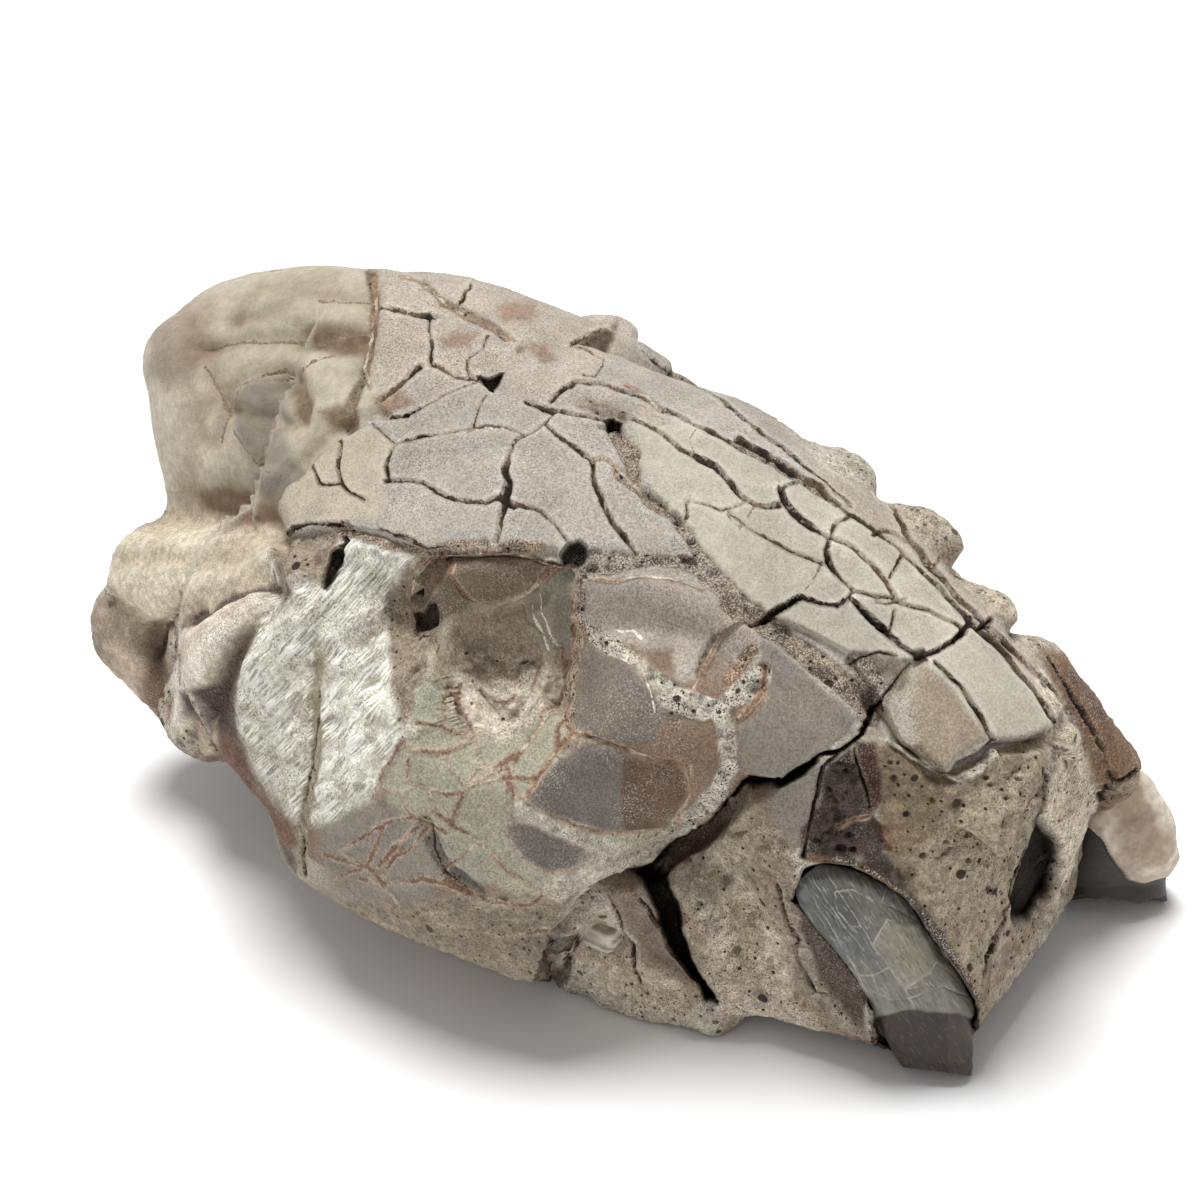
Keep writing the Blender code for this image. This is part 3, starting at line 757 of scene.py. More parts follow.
# Partly real brown, partly painted shade: the darker core at the base of the braincase.
CASE_BROWN_AND_SHADE = shade(142, 121, 105)
ORBIT_RUST = shade(176, 138, 106)
DARK_SLATE = shade(136, 129, 117)
RED_SEAM = shade(104, 80, 70)
NEAR_BLACK = shade(26, 21, 17)
FAINT = shade(140, 124, 106)
CLEAN_FINISHES = (NASAL_BONE, PALE_ROOF, ROLL_STONE, LOBE_BROWN)
SMOOTH_FINISHES = (CASE_BONE, CASE_SIDE, SLATE, DARK_SLATE, FOLD_BROWN_AND_SHADE, CASE_SHADE,
                   CASE_BROWN_AND_SHADE)
print("white stone in linear light", WHITE_STONE.round(2))

# %% Patches of the braincase, the roof and the back
REAR_PATCHES = (
    (CASE_BONE, 0.25, 0.0, 6, (120, 230, 380, 230, 378, 300, 366, 365, 385, 395, 333, 445,
        273, 513, 265, 540, 140, 545, 120, 480)),
    (CASE_SIDE, 0.3, 0.0, 10, (120, 300, 190, 330, 210, 400, 222, 520, 120, 530)),
    (CASE_SHADE, 0.25, 0.0, 9, (148, 325, 182, 306, 214, 298, 216, 322, 196, 365, 168, 392,
        150, 374)),
    (SLATE, 0.15, 0.3, 5, (231, 397, 252, 377, 281, 373, 292, 384, 284, 398, 288, 417, 266, 415,
        237, 404)),
    (SLATE, 0.15, 0.2, 6, (230, 408, 263, 414, 281, 430, 292, 449, 296, 471, 274, 467, 252, 463,
        237, 434)),
    (DARK_SLATE, 0.15, 0.0, 8, (250, 470, 298, 470, 294, 500, 272, 508, 256, 495)),
    # These brown patches are partly real brown and partly painted shade in folds and at the
    # braincase's base.
    (FOLD_BROWN_AND_SHADE, 0.5, -0.3, 5, (286, 386, 300, 384, 310, 400, 304, 424, 292, 418)),
    (FOLD_BROWN_AND_SHADE, 0.4, 0.0, 7, (188, 494, 230, 488, 266, 504, 272, 528, 240, 532, 200, 526)),
    (CASE_BROWN_AND_SHADE, 0.4, 0.0, 7, (206, 502, 240, 496, 266, 510, 270, 526, 236, 527, 212, 520)),
    (FOLD_BROWN_AND_SHADE, 0.5, 0.0, 6, (298, 326, 330, 322, 372, 330, 370, 350, 340, 352, 310, 344)),
    (FOLD_BROWN_AND_SHADE, 0.6, 0.0, 6, (318, 410, 340, 404, 356, 408, 352, 424, 330, 428)),
    (BACK_BONE, 0.12, 0.2, 4, (376, 250, 420, 250, 620, 300, 660, 345, 600, 370, 576, 382,
        546, 397, 503, 376, 477, 378, 433, 368, 388, 395, 366, 365, 372, 300)),
    (BLOT, 0.5, 0.0, 5, (372, 396, 400, 388, 416, 402, 400, 415, 380, 414)),
    (BLOT, 0.2, 0.0, 8, (500, 308, 532, 306, 536, 320, 505, 322)),
    (ROOF_BONE, 0.06, 0.25, 4, (273, 513, 287, 491, 311, 467, 333, 445, 352, 434, 376, 424,
        384, 414, 436, 397, 480, 382, 505, 395, 546, 400, 582, 414, 640, 420, 660, 440, 700, 470,
        700, 540, 660, 556, 568, 570, 556, 548, 495, 545, 445, 547, 428, 549, 380, 531, 340, 525,
        282, 534)),
    (PALE_ROOF, 0.08, 0.25, 5, (275, 520, 287, 493, 311, 467, 333, 445, 350, 433, 378, 427,
        390, 440, 388, 462, 386, 482, 386, 500, 378, 520, 345, 520, 305, 524)),
    (POROUS_STONE, 1.0, -0.2, 4, (584, 398, 606, 402, 628, 412, 636, 418, 622, 428, 606, 418,
        590, 412, 576, 404)),
    (UMBER_PLATE, 0.8, -0.6, 3, (574, 345, 590, 337, 606, 329, 618, 321, 614, 340, 608, 353,
        594, 347)),
    (BLOT, 0.3, 0.0, 5, (498, 308, 520, 304, 534, 308, 528, 317, 506, 319)),
    (BLOT, 0.4, 0.0, 5, (438, 338, 462, 332, 480, 334, 470, 345, 446, 348)),
    (BLOT, 0.5, 0.0, 4, (524, 346, 545, 345, 556, 362, 544, 366)),
    (RUST, 0.8, 0.0, 4, (664, 462, 676, 458, 700, 470, 698, 478, 682, 472)),
    (POROUS_STONE, 0.8, -0.1, 4, (645, 430, 662, 424, 690, 432, 694, 440, 676, 446, 660, 440)),
    (SHADOW_BROWN, 0.8, -0.2, 3, (712, 448, 720, 446, 731, 456, 728, 462, 718, 458)),
    (ROOF_BONE, 0.06, 0.2, 4, (576, 384, 640, 345, 700, 378, 760, 415, 800, 450, 830, 490,
        800, 480, 753, 452, 700, 424, 663, 412, 640, 402)),
    (NASAL_BONE, 0.04, 0.3, 3, (634, 428, 700, 424, 753, 453, 819, 494, 887, 539, 925, 577,
        969, 616, 950, 642, 919, 659, 850, 640, 822, 603, 772, 616, 745, 610, 738, 590, 700, 560,
        684, 520, 660, 500, 640, 470)),
    (NASAL_BONE, 0.04, 0.3, 3, (848, 602, 919, 660, 905, 670, 882, 698, 850, 660, 800, 625,
        775, 617, 800, 600)),
    (NASAL_BONE, 0.05, 0.4, 3, (921, 660, 972, 626, 1000, 650, 1056, 720, 1050, 733, 991, 738,
        960, 703)),
    (BUFF_STONE, 0.1, 0.4, 3, (920, 662, 946, 684, 988, 738, 955, 755, 945, 772, 916, 752,
        912, 700)),
    (LEFT_BONE, 0.2, 0.1, 4, (820, 470, 900, 520, 985, 590, 1062, 690, 1060, 722, 1000, 655,
        969, 616, 900, 548, 819, 492)),
    (CREAM_STONE, 0.8, 0.0, 5, (790, 430, 868, 440, 895, 495, 880, 505, 830, 470)),
    (SIDE_LUMP, 0.8, 0.0, 5, (885, 495, 960, 500, 1020, 590, 1040, 640, 990, 610, 920, 540)),
)
CHEEK_PATCHES = (
    (ROLL_STONE, 0.6, 0.0, 6, (90, 560, 150, 500, 268, 525, 275, 560, 262, 620, 225, 680, 200, 720,
        170, 740, 100, 700)),
    (RIB_STONE, 0.5, 0.3, 6, (262, 576, 266, 590, 242, 612, 224, 640, 206, 668, 188, 690, 181, 720,
        172, 735, 160, 728, 166, 700, 170, 668, 168, 648, 190, 622, 225, 598)),
    (TAN_STONE, 0.6, 0.0, 8, (60, 600, 104, 590, 150, 640, 166, 700, 160, 750, 90, 720)),
    (LOBE_BROWN, 0.6, 0.0, 8, (100, 640, 150, 660, 160, 740, 120, 720)),
    # Painted shade over brown stone: the dark crevice beside the rib.
    (CREVICE_SHADE, 0.7, -0.6, 7, (262, 604, 250, 640, 239, 680, 237, 720, 250, 760, 264, 800, 290, 850,
        302, 896, 288, 900, 262, 868, 230, 800, 205, 745, 196, 712, 208, 672, 230, 632)),
    # Painted shade: a dark patch for the recess, with only a shallow dip under it.
    (RECESS_SHADE, 0.7, -0.4, 5, (178, 692, 200, 688, 222, 696, 230, 716, 222, 738, 206, 730,
        190, 726, 180, 712)),
    (LOW_PURPLE, 0.7, 0.0, 7, (214, 730, 232, 736, 252, 775, 275, 808, 296, 828, 300, 850,
        286, 848, 262, 824, 240, 792, 220, 762)),
    (LOBE_BROWN, 0.5, 0.4, 5, (192, 730, 206, 724, 218, 736, 218, 754, 204, 756)),
    (VEIN_PINK, 0.5, 0.0, 6, (146, 660, 158, 656, 164, 700, 156, 736, 140, 720)),
    (WHITE_STONE, 0.55, 0.0, 10, (268, 545, 300, 534, 345, 532, 405, 560, 418, 600, 414, 650,
        404, 700, 400, 742, 384, 770, 372, 800, 330, 826, 300, 820, 262, 780, 238, 720, 240, 640)),
    (TAN_STONE, 0.9, -0.2, 5, (386, 600, 410, 560, 424, 600, 432, 640, 424, 690, 404, 730,
        392, 690)),
    (CELL_BONE, 0.15, 0.0, 5, (384, 786, 405, 741, 450, 722, 480, 740, 530, 730, 566, 690,
        574, 733, 545, 768, 529, 795, 509, 814, 500, 850, 540, 890, 450, 880, 400, 840)),
    (CHEEK_GREY, 0.15, 0.0, 7, (318, 826, 380, 800, 424, 815, 440, 870, 430, 900, 380, 905,
        330, 892)),
    (LOW_CHEEK, 0.8, 0.0, 8, (300, 895, 400, 905, 460, 890, 540, 895, 580, 885, 560, 930,
        530, 1000, 400, 970)),
    (CREAM_STONE, 0.7, 0.5, 4, (510, 800, 560, 818, 640, 832, 692, 818, 700, 830, 660, 856,
        600, 880, 574, 888, 560, 900, 530, 890, 590, 850, 520, 822)),
    (GREY_PLATE, 0.05, 0.4, 3, (582, 577, 610, 581, 647, 576, 677, 581, 703, 590, 737, 620,
        717, 635, 714, 652, 700, 680, 683, 685, 661, 668, 633, 646, 606, 640, 592, 626, 587, 607)),
    (BROWN_PLATE, 0.05, 0.0, 5, (640, 652, 672, 650, 676, 676, 655, 672)),
    (PURPLE_PLATE, 0.05, 0.4, 3, (583, 650, 600, 646, 621, 658, 641, 680, 658, 702, 663, 719,
        652, 744, 621, 744, 599, 736, 577, 731, 574, 716, 578, 690)),
    (BROWN_PLATE, 0.05, 0.3, 3, (663, 719, 691, 722, 703, 741, 711, 764, 689, 764, 661, 758,
        646, 750, 655, 741)),
    (DARK_PLATE, 0.1, 0.4, 3, (529, 797, 540, 781, 560, 760, 588, 746, 613, 746, 621, 760,
        621, 831, 599, 832, 574, 825, 548, 815)),
    (UMBER_PLATE, 0.1, 0.4, 3, (621, 754, 644, 760, 677, 766, 689, 781, 691, 797, 680, 809,
        677, 822, 661, 830, 621, 831)),
    (DARK_PLATE, 0.15, 0.2, 4, (505, 825, 526, 820, 548, 832, 584, 848, 576, 866, 548, 871,
        526, 860, 511, 840)),
    (SHIELD_PLATE, 0.1, 0.5, 3, (764, 640, 803, 669, 825, 691, 856, 716, 850, 731, 825, 747,
        809, 762, 778, 778, 747, 769, 733, 747, 736, 728, 759, 716, 768, 697, 762, 669)),
    (ORBIT_BONE, 0.2, 0.0, 5, (425, 560, 470, 549, 530, 555, 560, 574, 540, 590, 500, 606,
        450, 612, 418, 612)),
    (ORBIT_BACK, 0.6, 0.0, 9, (430, 612, 520, 604, 562, 580, 568, 640, 540, 690, 480, 690,
        432, 680)),
    (ORBIT_FLOOR, 0.8, 0.0, 12, (452, 676, 480, 655, 540, 660, 556, 680, 540, 715, 505, 738,
        470, 732)),
    (GREEN_GREY, 0.1, 0.0, 4, (520, 604, 545, 588, 563, 577, 567, 640, 556, 662, 541, 642,
        529, 622)),
    (ORBIT_BONE, 0.2, 0.2, 4, (416, 566, 428, 562, 447, 580, 468, 604, 446, 622, 436, 650,
        424, 640, 414, 610)),
    (GREEN_CELL, 0.1, 0.2, 3, (414, 690, 425, 680, 440, 684, 447, 712, 466, 733, 440, 727,
        414, 722)),
    (TAN_STONE, 0.9, 0.0, 6, (266, 542, 300, 532, 335, 530, 342, 556, 326, 588, 300, 574,
        276, 584)),
    (SHADOW_BROWN, 0.9, 0.0, 7, (266, 580, 286, 578, 298, 596, 282, 608)),
    # Painted shade: the small hole in the eye socket, darkened.
    (RECESS_SHADE, 0.9, -0.3, 2, (412, 611, 424, 613, 430, 603, 438, 601, 441, 612, 439, 626,
        430, 631, 416, 631)),
)
SNOUT_PATCHES = (
    (TAN_STONE, 0.9, 0.0, 5, (715, 800, 745, 790, 790, 840, 800, 900, 790, 937, 816, 991,
        850, 1040, 870, 1090, 700, 1050, 690, 960, 664, 880, 690, 840)),
    (WEDGE_STONE, 0.9, 0.0, 5, (672, 850, 712, 830, 745, 850, 760, 930, 745, 990, 712, 1010,
        680, 940)),
    (SHIELD_PLATE, 0.2, 0.2, 3, (766, 787, 825, 762, 819, 800, 800, 837, 794, 853, 778, 825)),
    (FRONT_STONE, 1.0, 0.0, 4, (872, 742, 920, 745, 950, 775, 1056, 724, 1044, 812, 1031, 837,
        1012, 881, 1006, 919, 985, 1000, 969, 1003, 956, 966, 925, 916, 897, 885, 880, 828)),
    (PALE_FRONT, 0.9, 0.0, 12, (990, 770, 1050, 740, 1040, 812, 1031, 837, 1012, 881, 1006, 919,
        985, 990, 969, 1000, 950, 950, 925, 905, 910, 860, 950, 820)),
    (RIDGE_STONE, 0.8, 0.2, 4, (1040, 655, 1056, 690, 1092, 728, 1112, 780, 1096, 810, 1088, 844,
        1058, 900, 1030, 950, 985, 1003, 1006, 919, 1031, 837, 1044, 812, 1056, 724, 1036, 690)),
    (TAN_STONE, 0.9, 0.0, 6, (1020, 880, 1060, 880, 1050, 915, 1015, 965, 985, 1003, 1006, 925)),
    # Painted shade: a near-black patch where shade fills the hollow of the snout.
    (PAINTED_HOLLOW_SHADE, 0.9, -1.5, 4, (1043, 818, 1058, 840, 1060, 866, 1052, 891, 1031, 920, 1014, 922,
        1012, 898, 1027, 856)),
    (PURPLE_BONE, 0.7, 0.0, 3, (822, 775, 850, 747, 862, 775, 872, 806, 878, 828, 887, 859,
        900, 891, 862, 875, 825, 864, 802, 853, 800, 831, 819, 803)),
    (UMBER_PLATE, 0.7, 0.0, 3, (657, 852, 690, 832, 717, 815, 724, 828, 706, 850, 678, 862,
        660, 870)),
    (RED_BONE, 0.6, 0.2, 3, (855, 742, 875, 744, 880, 775, 883, 800, 876, 812, 869, 808,
        862, 778)),
    (GREEN_GREY, 0.9, 0.1, 3, (852, 856, 862, 855, 867, 861, 858, 866, 850, 862)),
    (GREEN_GREY, 0.6, 0.0, 4, (876, 655, 912, 660, 905, 684, 885, 700, 868, 680)),
    (JAW_BROWN, 0.3, 0.0, 5, (1038, 648, 1075, 655, 1100, 680, 1130, 725, 1150, 770, 1112, 786,
        1098, 804, 1090, 768, 1080, 735, 1064, 704, 1048, 676)),
    (RED_SEAM, 0.3, 0.0, 7, (1062, 668, 1080, 676, 1104, 706, 1112, 740, 1098, 716)),
    (CREAM_STONE, 0.8, 0.0, 4, (585, 880, 612, 880, 680, 985, 720, 1000, 720, 1040, 600, 1030,
        540, 1000, 562, 921)),
    (SHADOW_BROWN, 0.5, 0.0, 5, (600, 885, 650, 868, 668, 900, 676, 950, 700, 1000, 660, 985,
        625, 925)),
    (SPLINTER, 0.7, 0.0, 3, (801, 905, 816, 921, 842, 957, 862, 992, 864, 1030, 850, 1022,
        819, 980, 798, 930)),
    (RIDGE_STONE, 0.9, 0.0, 12, (724, 900, 752, 890, 784, 930, 796, 1000, 830, 1040, 760, 1030,
        716, 1010, 706, 960)),
    (RIDGE_STONE, 0.8, 0.9, 4, (566, 948, 607, 946, 668, 972, 704, 1003, 692, 1022, 633, 1027,
        600, 1006)),
)
BANDS = (
    # Partly painted shade: a brown band that runs along a fold of the braincase.
    (FOLD_BROWN_AND_SHADE, 0.8, -0.2, 5, (371, 270, 374, 300, 373, 323, 368, 350, 364, 374, 352, 400,
        346, 424)),
    (MOSS_TAN, 0.9, -0.1, 5, (320, 655, 314, 698, 317, 738, 314, 761, 308, 796, 305, 824, 300, 865,
        303, 890)),
    (RIM_STONE, 1.0, 0.0, 6, (576, 560, 579, 585, 578, 612, 576, 640, 573, 665, 571, 690,
        570, 712)),
    (ORBIT_RUST, 0.95, 0.0, 3, (574, 612, 573, 640, 571, 668)),
    (JAW_BROWN, 1.0, 0.2, 5, (836, 861, 861, 867, 885, 881, 907, 899, 928, 925, 948, 952, 965, 977,
        976, 1000)),
    (WHITE_STONE, 1.0, 0.2, 5, (650, 672, 662, 682, 676, 692, 692, 698, 712, 702)),
    (POROUS_STONE, 1.0, -0.3, 12, (862, 664, 880, 690, 872, 714)),
    (SEAM_GREEN, 0.8, -0.5, 6, (424, 822, 431, 842, 440, 862, 456, 878, 478, 894)),
    # Painted shade over brown stone: a dark band down the cleft between roll and rib.
    (CREVICE_SHADE, 0.7, -0.3, 4, (262, 577, 238, 584, 215, 594, 196, 608, 176, 624, 160, 640,
        152, 656)),
    (CREAM_STONE, 0.95, 0.9, 4, (890, 741, 912, 758, 942, 774, 960, 780, 978, 772, 997, 752)),
    (SEAM_STONE, 1.0, -0.5, 6, (618, 472, 633, 483, 649, 497, 663, 509, 676, 521, 688, 536)),
    (SEAM_STONE, 1.0, -0.6, 7, (612, 428, 620, 441, 631, 454, 630, 466, 636, 480)),
    (SEAM_STONE, 0.9, -0.3, 4, (424, 285, 443, 303, 468, 316, 487, 325, 506, 338)),
    (SEAM_STONE, 1.0, -0.3, 5, (745, 446, 768, 459, 795, 477, 818, 491, 836, 506)),
    (POROUS_STONE, 1.0, -0.3, 9, (584, 562, 606, 563, 632, 560, 655, 560, 680, 562, 700, 570,
        718, 584, 738, 600, 752, 612)),
    (POROUS_STONE, 1.0, -0.2, 4, (581, 562, 583, 584, 582, 606, 580, 622)),
    (POROUS_STONE, 1.0, -0.4, 5, (676, 522, 690, 541, 700, 556, 712, 572)),
    (SEAM_STONE, 1.0, -0.7, 9, (728, 606, 752, 618, 780, 634, 810, 656, 842, 682, 866, 704)),
    (RIM_STONE, 0.95, 0.0, 5, (411, 600, 415, 578, 421, 562, 434, 556, 470, 548, 510, 551,
        545, 564, 566, 568)),
    (RIM_STONE, 1.0, 0.1, 6, (340, 528, 360, 536, 384, 545, 428, 552, 480, 546, 540, 546)),
    (SPLINTER, 0.95, 0.2, 5, (885, 855, 906, 892, 926, 920, 943, 948, 960, 975, 971, 1002)),
    (CREAM_STONE, 1.0, -0.1, 7, (576, 616, 588, 630, 604, 643, 621, 652, 636, 662, 652, 675,
        668, 690, 686, 699, 704, 704)),
    (CREAM_STONE, 1.0, 0.0, 8, (664, 700, 703, 711, 719, 708, 745, 691, 762, 674)),
    (ORBIT_RUST, 1.0, 0.0, 3, (574, 606, 578, 622, 588, 636)),
    (ORBIT_RUST, 1.0, 0.0, 4, (728, 680, 742, 664, 752, 648)),
    (ORBIT_FLOOR, 0.95, 0.0, 9, (470, 718, 500, 724, 526, 708, 542, 690)),
    (ORBIT_BACK, 0.95, 0.0, 9, (456, 656, 480, 668, 512, 672, 536, 664)),
    (ORBIT_RUST, 0.95, 0.0, 2, (540, 656, 538, 672, 532, 690)),
    (ORBIT_RUST, 0.95, 0.0, 2, (557, 664, 560, 682, 552, 700, 540, 716)),
    (ORBIT_RUST, 0.95, 0.0, 2, (533, 710, 541, 698, 548, 684)),
    (ORBIT_RUST, 0.8, 0.0, 3, (416, 586, 413, 600, 413, 612)),
    (CREAM_STONE, 1.0, 0.1, 9, (722, 713, 727, 738, 731, 767, 714, 795, 692, 817, 677, 831)),
    (SHADOW_BROWN, 0.9, -0.3, 5, (700, 676, 709, 654, 717, 640, 742, 620)),
    (CREAM_STONE, 0.8, 0.3, 4, (521, 800, 552, 818, 600, 834, 660, 836, 690, 824)),
    (PURPLE_BONE, 0.95, 0.0, 14, (843, 778, 843, 800, 838, 825, 832, 845)),
    (RED_BONE, 0.95, 0.0, 3, (873, 820, 880, 829, 884, 840)),
    (RUST, 0.95, 0.0, 2, (884, 826, 890, 838, 894, 850)),
    (JAW_BROWN, 0.8, 0.3, 3, (806, 858, 824, 860, 846, 864, 866, 871, 882, 880)),
)
PATCHES = REAR_PATCHES + CHEEK_PATCHES + SNOUT_PATCHES
print(len(PATCHES), "patches", len(BANDS), "bands")

# %% [markdown]
# Deep places are carved away along the line of sight, so that they stay where they are seen: the
# black recess behind the cheek, the gap that holds the canine, the holes where plates have fallen
# out, and pits in the stone. Each is also painted towards near black by a share of painted shade.
# A step is an edge whose lower side is pressed in and comes up again slowly. A fold is a soft
# furrow with a depth and a width in millimetres, and its colour is darkened along it as painted
# shade. A bowl is a wide, shallow hollow.

# %% Deep places, steps and pits
# Each deep place: depth, softness of its edge, share of painted shade, and outline.
DEEP_PLACES = (
    (8.0, 1.5, 0.9, (735, 789, 741, 779, 750, 774, 762, 776, 775, 778, 798, 765, 813, 757,
        816, 762, 801, 775, 780, 785, 768, 791, 745, 797, 725, 813, 717, 812)),
    (13.0, 2.0, 0.9, (640, 872, 652, 863, 664, 868, 670, 888, 676, 905, 680, 930, 690, 958,
        704, 985, 716, 1004, 704, 1003, 684, 972, 668, 945, 657, 915, 648, 890)),
    (9.5, 2.0, 0.45, (804, 869, 825, 863, 850, 866, 878, 879, 902, 895, 921, 920, 939, 951,
        961, 979, 976, 1008, 980, 1085, 880, 1070, 872, 1014, 859, 990, 838, 958, 816, 930,
        794, 901)),
    (3.2, 1.5, 0.9, (479, 377, 488, 380, 502, 375, 499, 386, 492, 393, 485, 387)),
    (3.2, 1.5, 0.9, (605, 422, 612, 417, 622, 425, 619, 434, 610, 430)),
    (4.0, 2.0, 0.9, (562, 556, 568, 545, 578, 542, 586, 550, 584, 562, 572, 571, 562, 566)),
    (3.2, 1.5, 0.9, (333, 552, 341, 547, 343, 566, 336, 582, 328, 593, 324, 588)),
    (3.0, 2.5, 0.45, (548, 968, 562, 944, 575, 952, 570, 976, 552, 992)),
    (1.6, 1.5, 0.35, (413, 613, 424, 614, 431, 604, 438, 603, 440, 624, 430, 630, 417, 630)),
    (1.5, 1.5, 0.45, (909, 652, 922, 650, 926, 662, 914, 668)),
    (3.0, 3.0, 0.9, (1040, 822, 1056, 842, 1058, 866, 1050, 890, 1030, 918, 1014, 916, 1014, 900,
        1027, 858)),
)
STEPS = (
    (1.8, 6.0, (556, 572, 534, 590, 515, 601, 497, 606, 475, 603, 462, 597, 448, 577, 432, 560)),
    (2.2, 6.0, (566, 700, 571, 640, 571, 590, 568, 573, 545, 566, 510, 555, 470, 550, 430, 558,
        421, 566, 414, 591)),
    (4.0, 7.0, (760, 779, 745, 783, 728, 800, 717, 811, 705, 825, 683, 837, 661, 851, 652, 862)),
    (4.0, 8.0, (627, 870, 599, 879, 588, 890, 562, 921, 554, 929, 530, 990)),
    (1.2, 4.0, (568, 572, 556, 547, 495, 545, 445, 547, 428, 549, 380, 531, 340, 525, 282, 534)),
    (1.2, 8.0, (282, 534, 273, 513, 287, 491, 311, 467, 333, 445, 352, 434, 376, 422)),
    (2.4, 4.0, (1056, 722, 1050, 733, 991, 740, 975, 753, 956, 760, 950, 772, 934, 769, 916, 751,
        905, 744, 882, 700)),
    (1.0, 4.0, (882, 700, 868, 678, 850, 652, 800, 626, 775, 618)),
)
PITS = (
    (987, 778, 3, 1.2), (991, 785, 3, 1.0), (958, 805, 6, 1.6), (906, 814, 4, 1.2),
    (923, 856, 4, 1.2), (989, 889, 4, 1.2), (737, 951, 6, 1.4), (559, 565, 5, 1.6),
    (281, 589, 4, 1.0), (917, 657, 4, 1.5), (947, 842, 3, 0.8), (1008, 800, 3, 0.8),
    (932, 800, 3, 0.8), (968, 860, 3, 0.9), (893, 780, 3, 0.8), (1020, 780, 3, 0.8),
    (700, 905, 4, 0.9), (770, 960, 4, 0.9), (728, 880, 4, 0.9), (690, 860, 3, 0.7),
    (602, 428, 4, 1.0), (521, 352, 5, 1.0), (841, 849, 6, 1.4), (853, 850, 4, 1.2),
    (830, 790, 3, 0.8), (846, 772, 3, 0.8), (850, 834, 4, 0.9), (816, 842, 4, 0.9),
)
FOLDS = (
    (0.9, 1.6, (200, 350, 215, 346, 252, 338, 281, 338, 310, 342, 333, 349, 350, 348)),
    (0.7, 1.4, (235, 320, 256, 315, 274, 311, 284, 300, 292, 290, 318, 294, 345, 297, 373, 298)),
    (0.9, 1.5, (230, 412, 229, 400, 232, 390, 242, 380, 252, 374, 281, 371, 296, 379)),
    (0.8, 1.6, (211, 347, 208, 360, 209, 375, 219, 397, 226, 415, 220, 432, 211, 448, 202, 436,
        197, 423, 204, 410, 211, 401)),
    (1.1, 2.0, (290, 384, 302, 396, 300, 412, 292, 424)),
    (0.6, 1.2, (232, 408, 250, 414, 266, 416, 281, 424)),
    (0.5, 1.2, (296, 322, 320, 330, 345, 328, 368, 332)),
    (0.5, 1.2, (300, 345, 325, 338, 350, 340, 366, 336)),
    (0.6, 1.4, (371, 270, 373, 300, 372, 323, 367, 350, 360, 376)),
    (0.7, 1.6, (346, 424, 330, 418, 316, 430, 308, 450, 300, 470)),
    (0.6, 1.5, (232, 320, 240, 300, 262, 288, 290, 280, 330, 276)),
    (1.0, 2.2, (190, 496, 226, 492, 252, 500, 270, 516)),
    (0.8, 1.8, (188, 320, 192, 352, 188, 392, 192, 440, 186, 486)),
    (0.9, 1.4, (806, 905, 826, 938, 846, 968, 862, 1000)),
    (0.8, 1.2, (798, 930, 812, 962, 832, 990, 850, 1015)),
    (0.8, 1.4, (862, 664, 878, 676, 892, 672, 904, 684)),
    (0.8, 1.4, (856, 690, 870, 698, 880, 716, 872, 734)),
    (0.9, 1.6, (592, 905, 600, 940, 640, 985, 690, 1003)),
    (0.7, 1.2, (566, 930, 588, 950, 612, 946)),
    (1.2, 1.4, (608, 943, 640, 956, 670, 968, 690, 986, 707, 1002)),
    (0.8, 1.6, (672, 905, 690, 930, 697, 952, 720, 975)),
    (0.6, 1.5, (740, 905, 752, 935, 744, 965, 760, 1000)),
    (1.6, 2.4, (268, 534, 240, 524, 210, 516, 180, 514, 150, 520)),
    (2.6, 2.0, (264, 574, 238, 582, 215, 592, 196, 606, 176, 622, 158, 634, 148, 648)),
    (2.8, 2.2, (270, 588, 258, 606, 242, 626, 228, 650, 216, 676, 208, 704, 200, 726)),
    (1.4, 2.0, (98, 592, 116, 606, 136, 622, 150, 640, 160, 668, 166, 700, 160, 730)),
    (1.0, 2.0, (120, 560, 150, 556, 184, 560, 212, 556, 240, 552)),
    (0.3, 1.2, (320, 650, 314, 698, 317, 738, 314, 761, 308, 796, 305, 824, 300, 865)),
    (0.7, 1.6, (176, 660, 190, 640, 214, 620, 236, 604)),
)
BOWLS = (
    (505, 645, 62, 78, 4.0),
    (470, 640, 34, 30, 2.5),
    (300, 690, 60, 110, 0.8),
    (735, 880, 60, 60, 1.5),
    (500, 712, 26, 20, 1.2),
)
print(len(DEEP_PLACES), "deep places", len(STEPS), "steps", len(PITS), "pits", len(FOLDS),
      "folds", len(BOWLS), "bowls")

# %% [markdown]
# ## Measuring in the picture
# A chain is straight between its places, but a real crack wanders. So the places of
# the points are shaken a little by noise before they are measured against a chain.
# The measure is how far the nearest point of the chain is, and on which side it lies.

# %% Distances from chains and outlines
MARGIN = 22.0
FAR = 3.0


def shaken(place, seed):
    """Place in the picture, moved by two sizes of noise."""
    return (place + 1.3 * noise(P, 2.3, seed) + 0.5 * noise(P, 0.9, seed + 1)).ravel()


shaken_across, shaken_down = shaken(across, 11), shaken(down, 13)
share, with_rim = seen.ravel(), with_rim.ravel()
SKULL_NET = (shaken_across, shaken_down, with_rim)
step_mm = (depth / FOCAL).ravel()


def near_box(places, net):
    """Points of a net whose place in the picture lies in the box round the chain."""
    ends = np.array(places, float).reshape(-1, 2)
    low, high = ends.min(0) - MARGIN, ends.max(0) + MARGIN
    inside_box = (net[0] > low[0]) & (net[0] < high[0]) & net[2]
    inside_box &= (net[1] > low[1]) & (net[1] < high[1])
    near = np.flatnonzero(inside_box)
    return ends, near, np.stack([net[0][near], net[1][near]], -1)


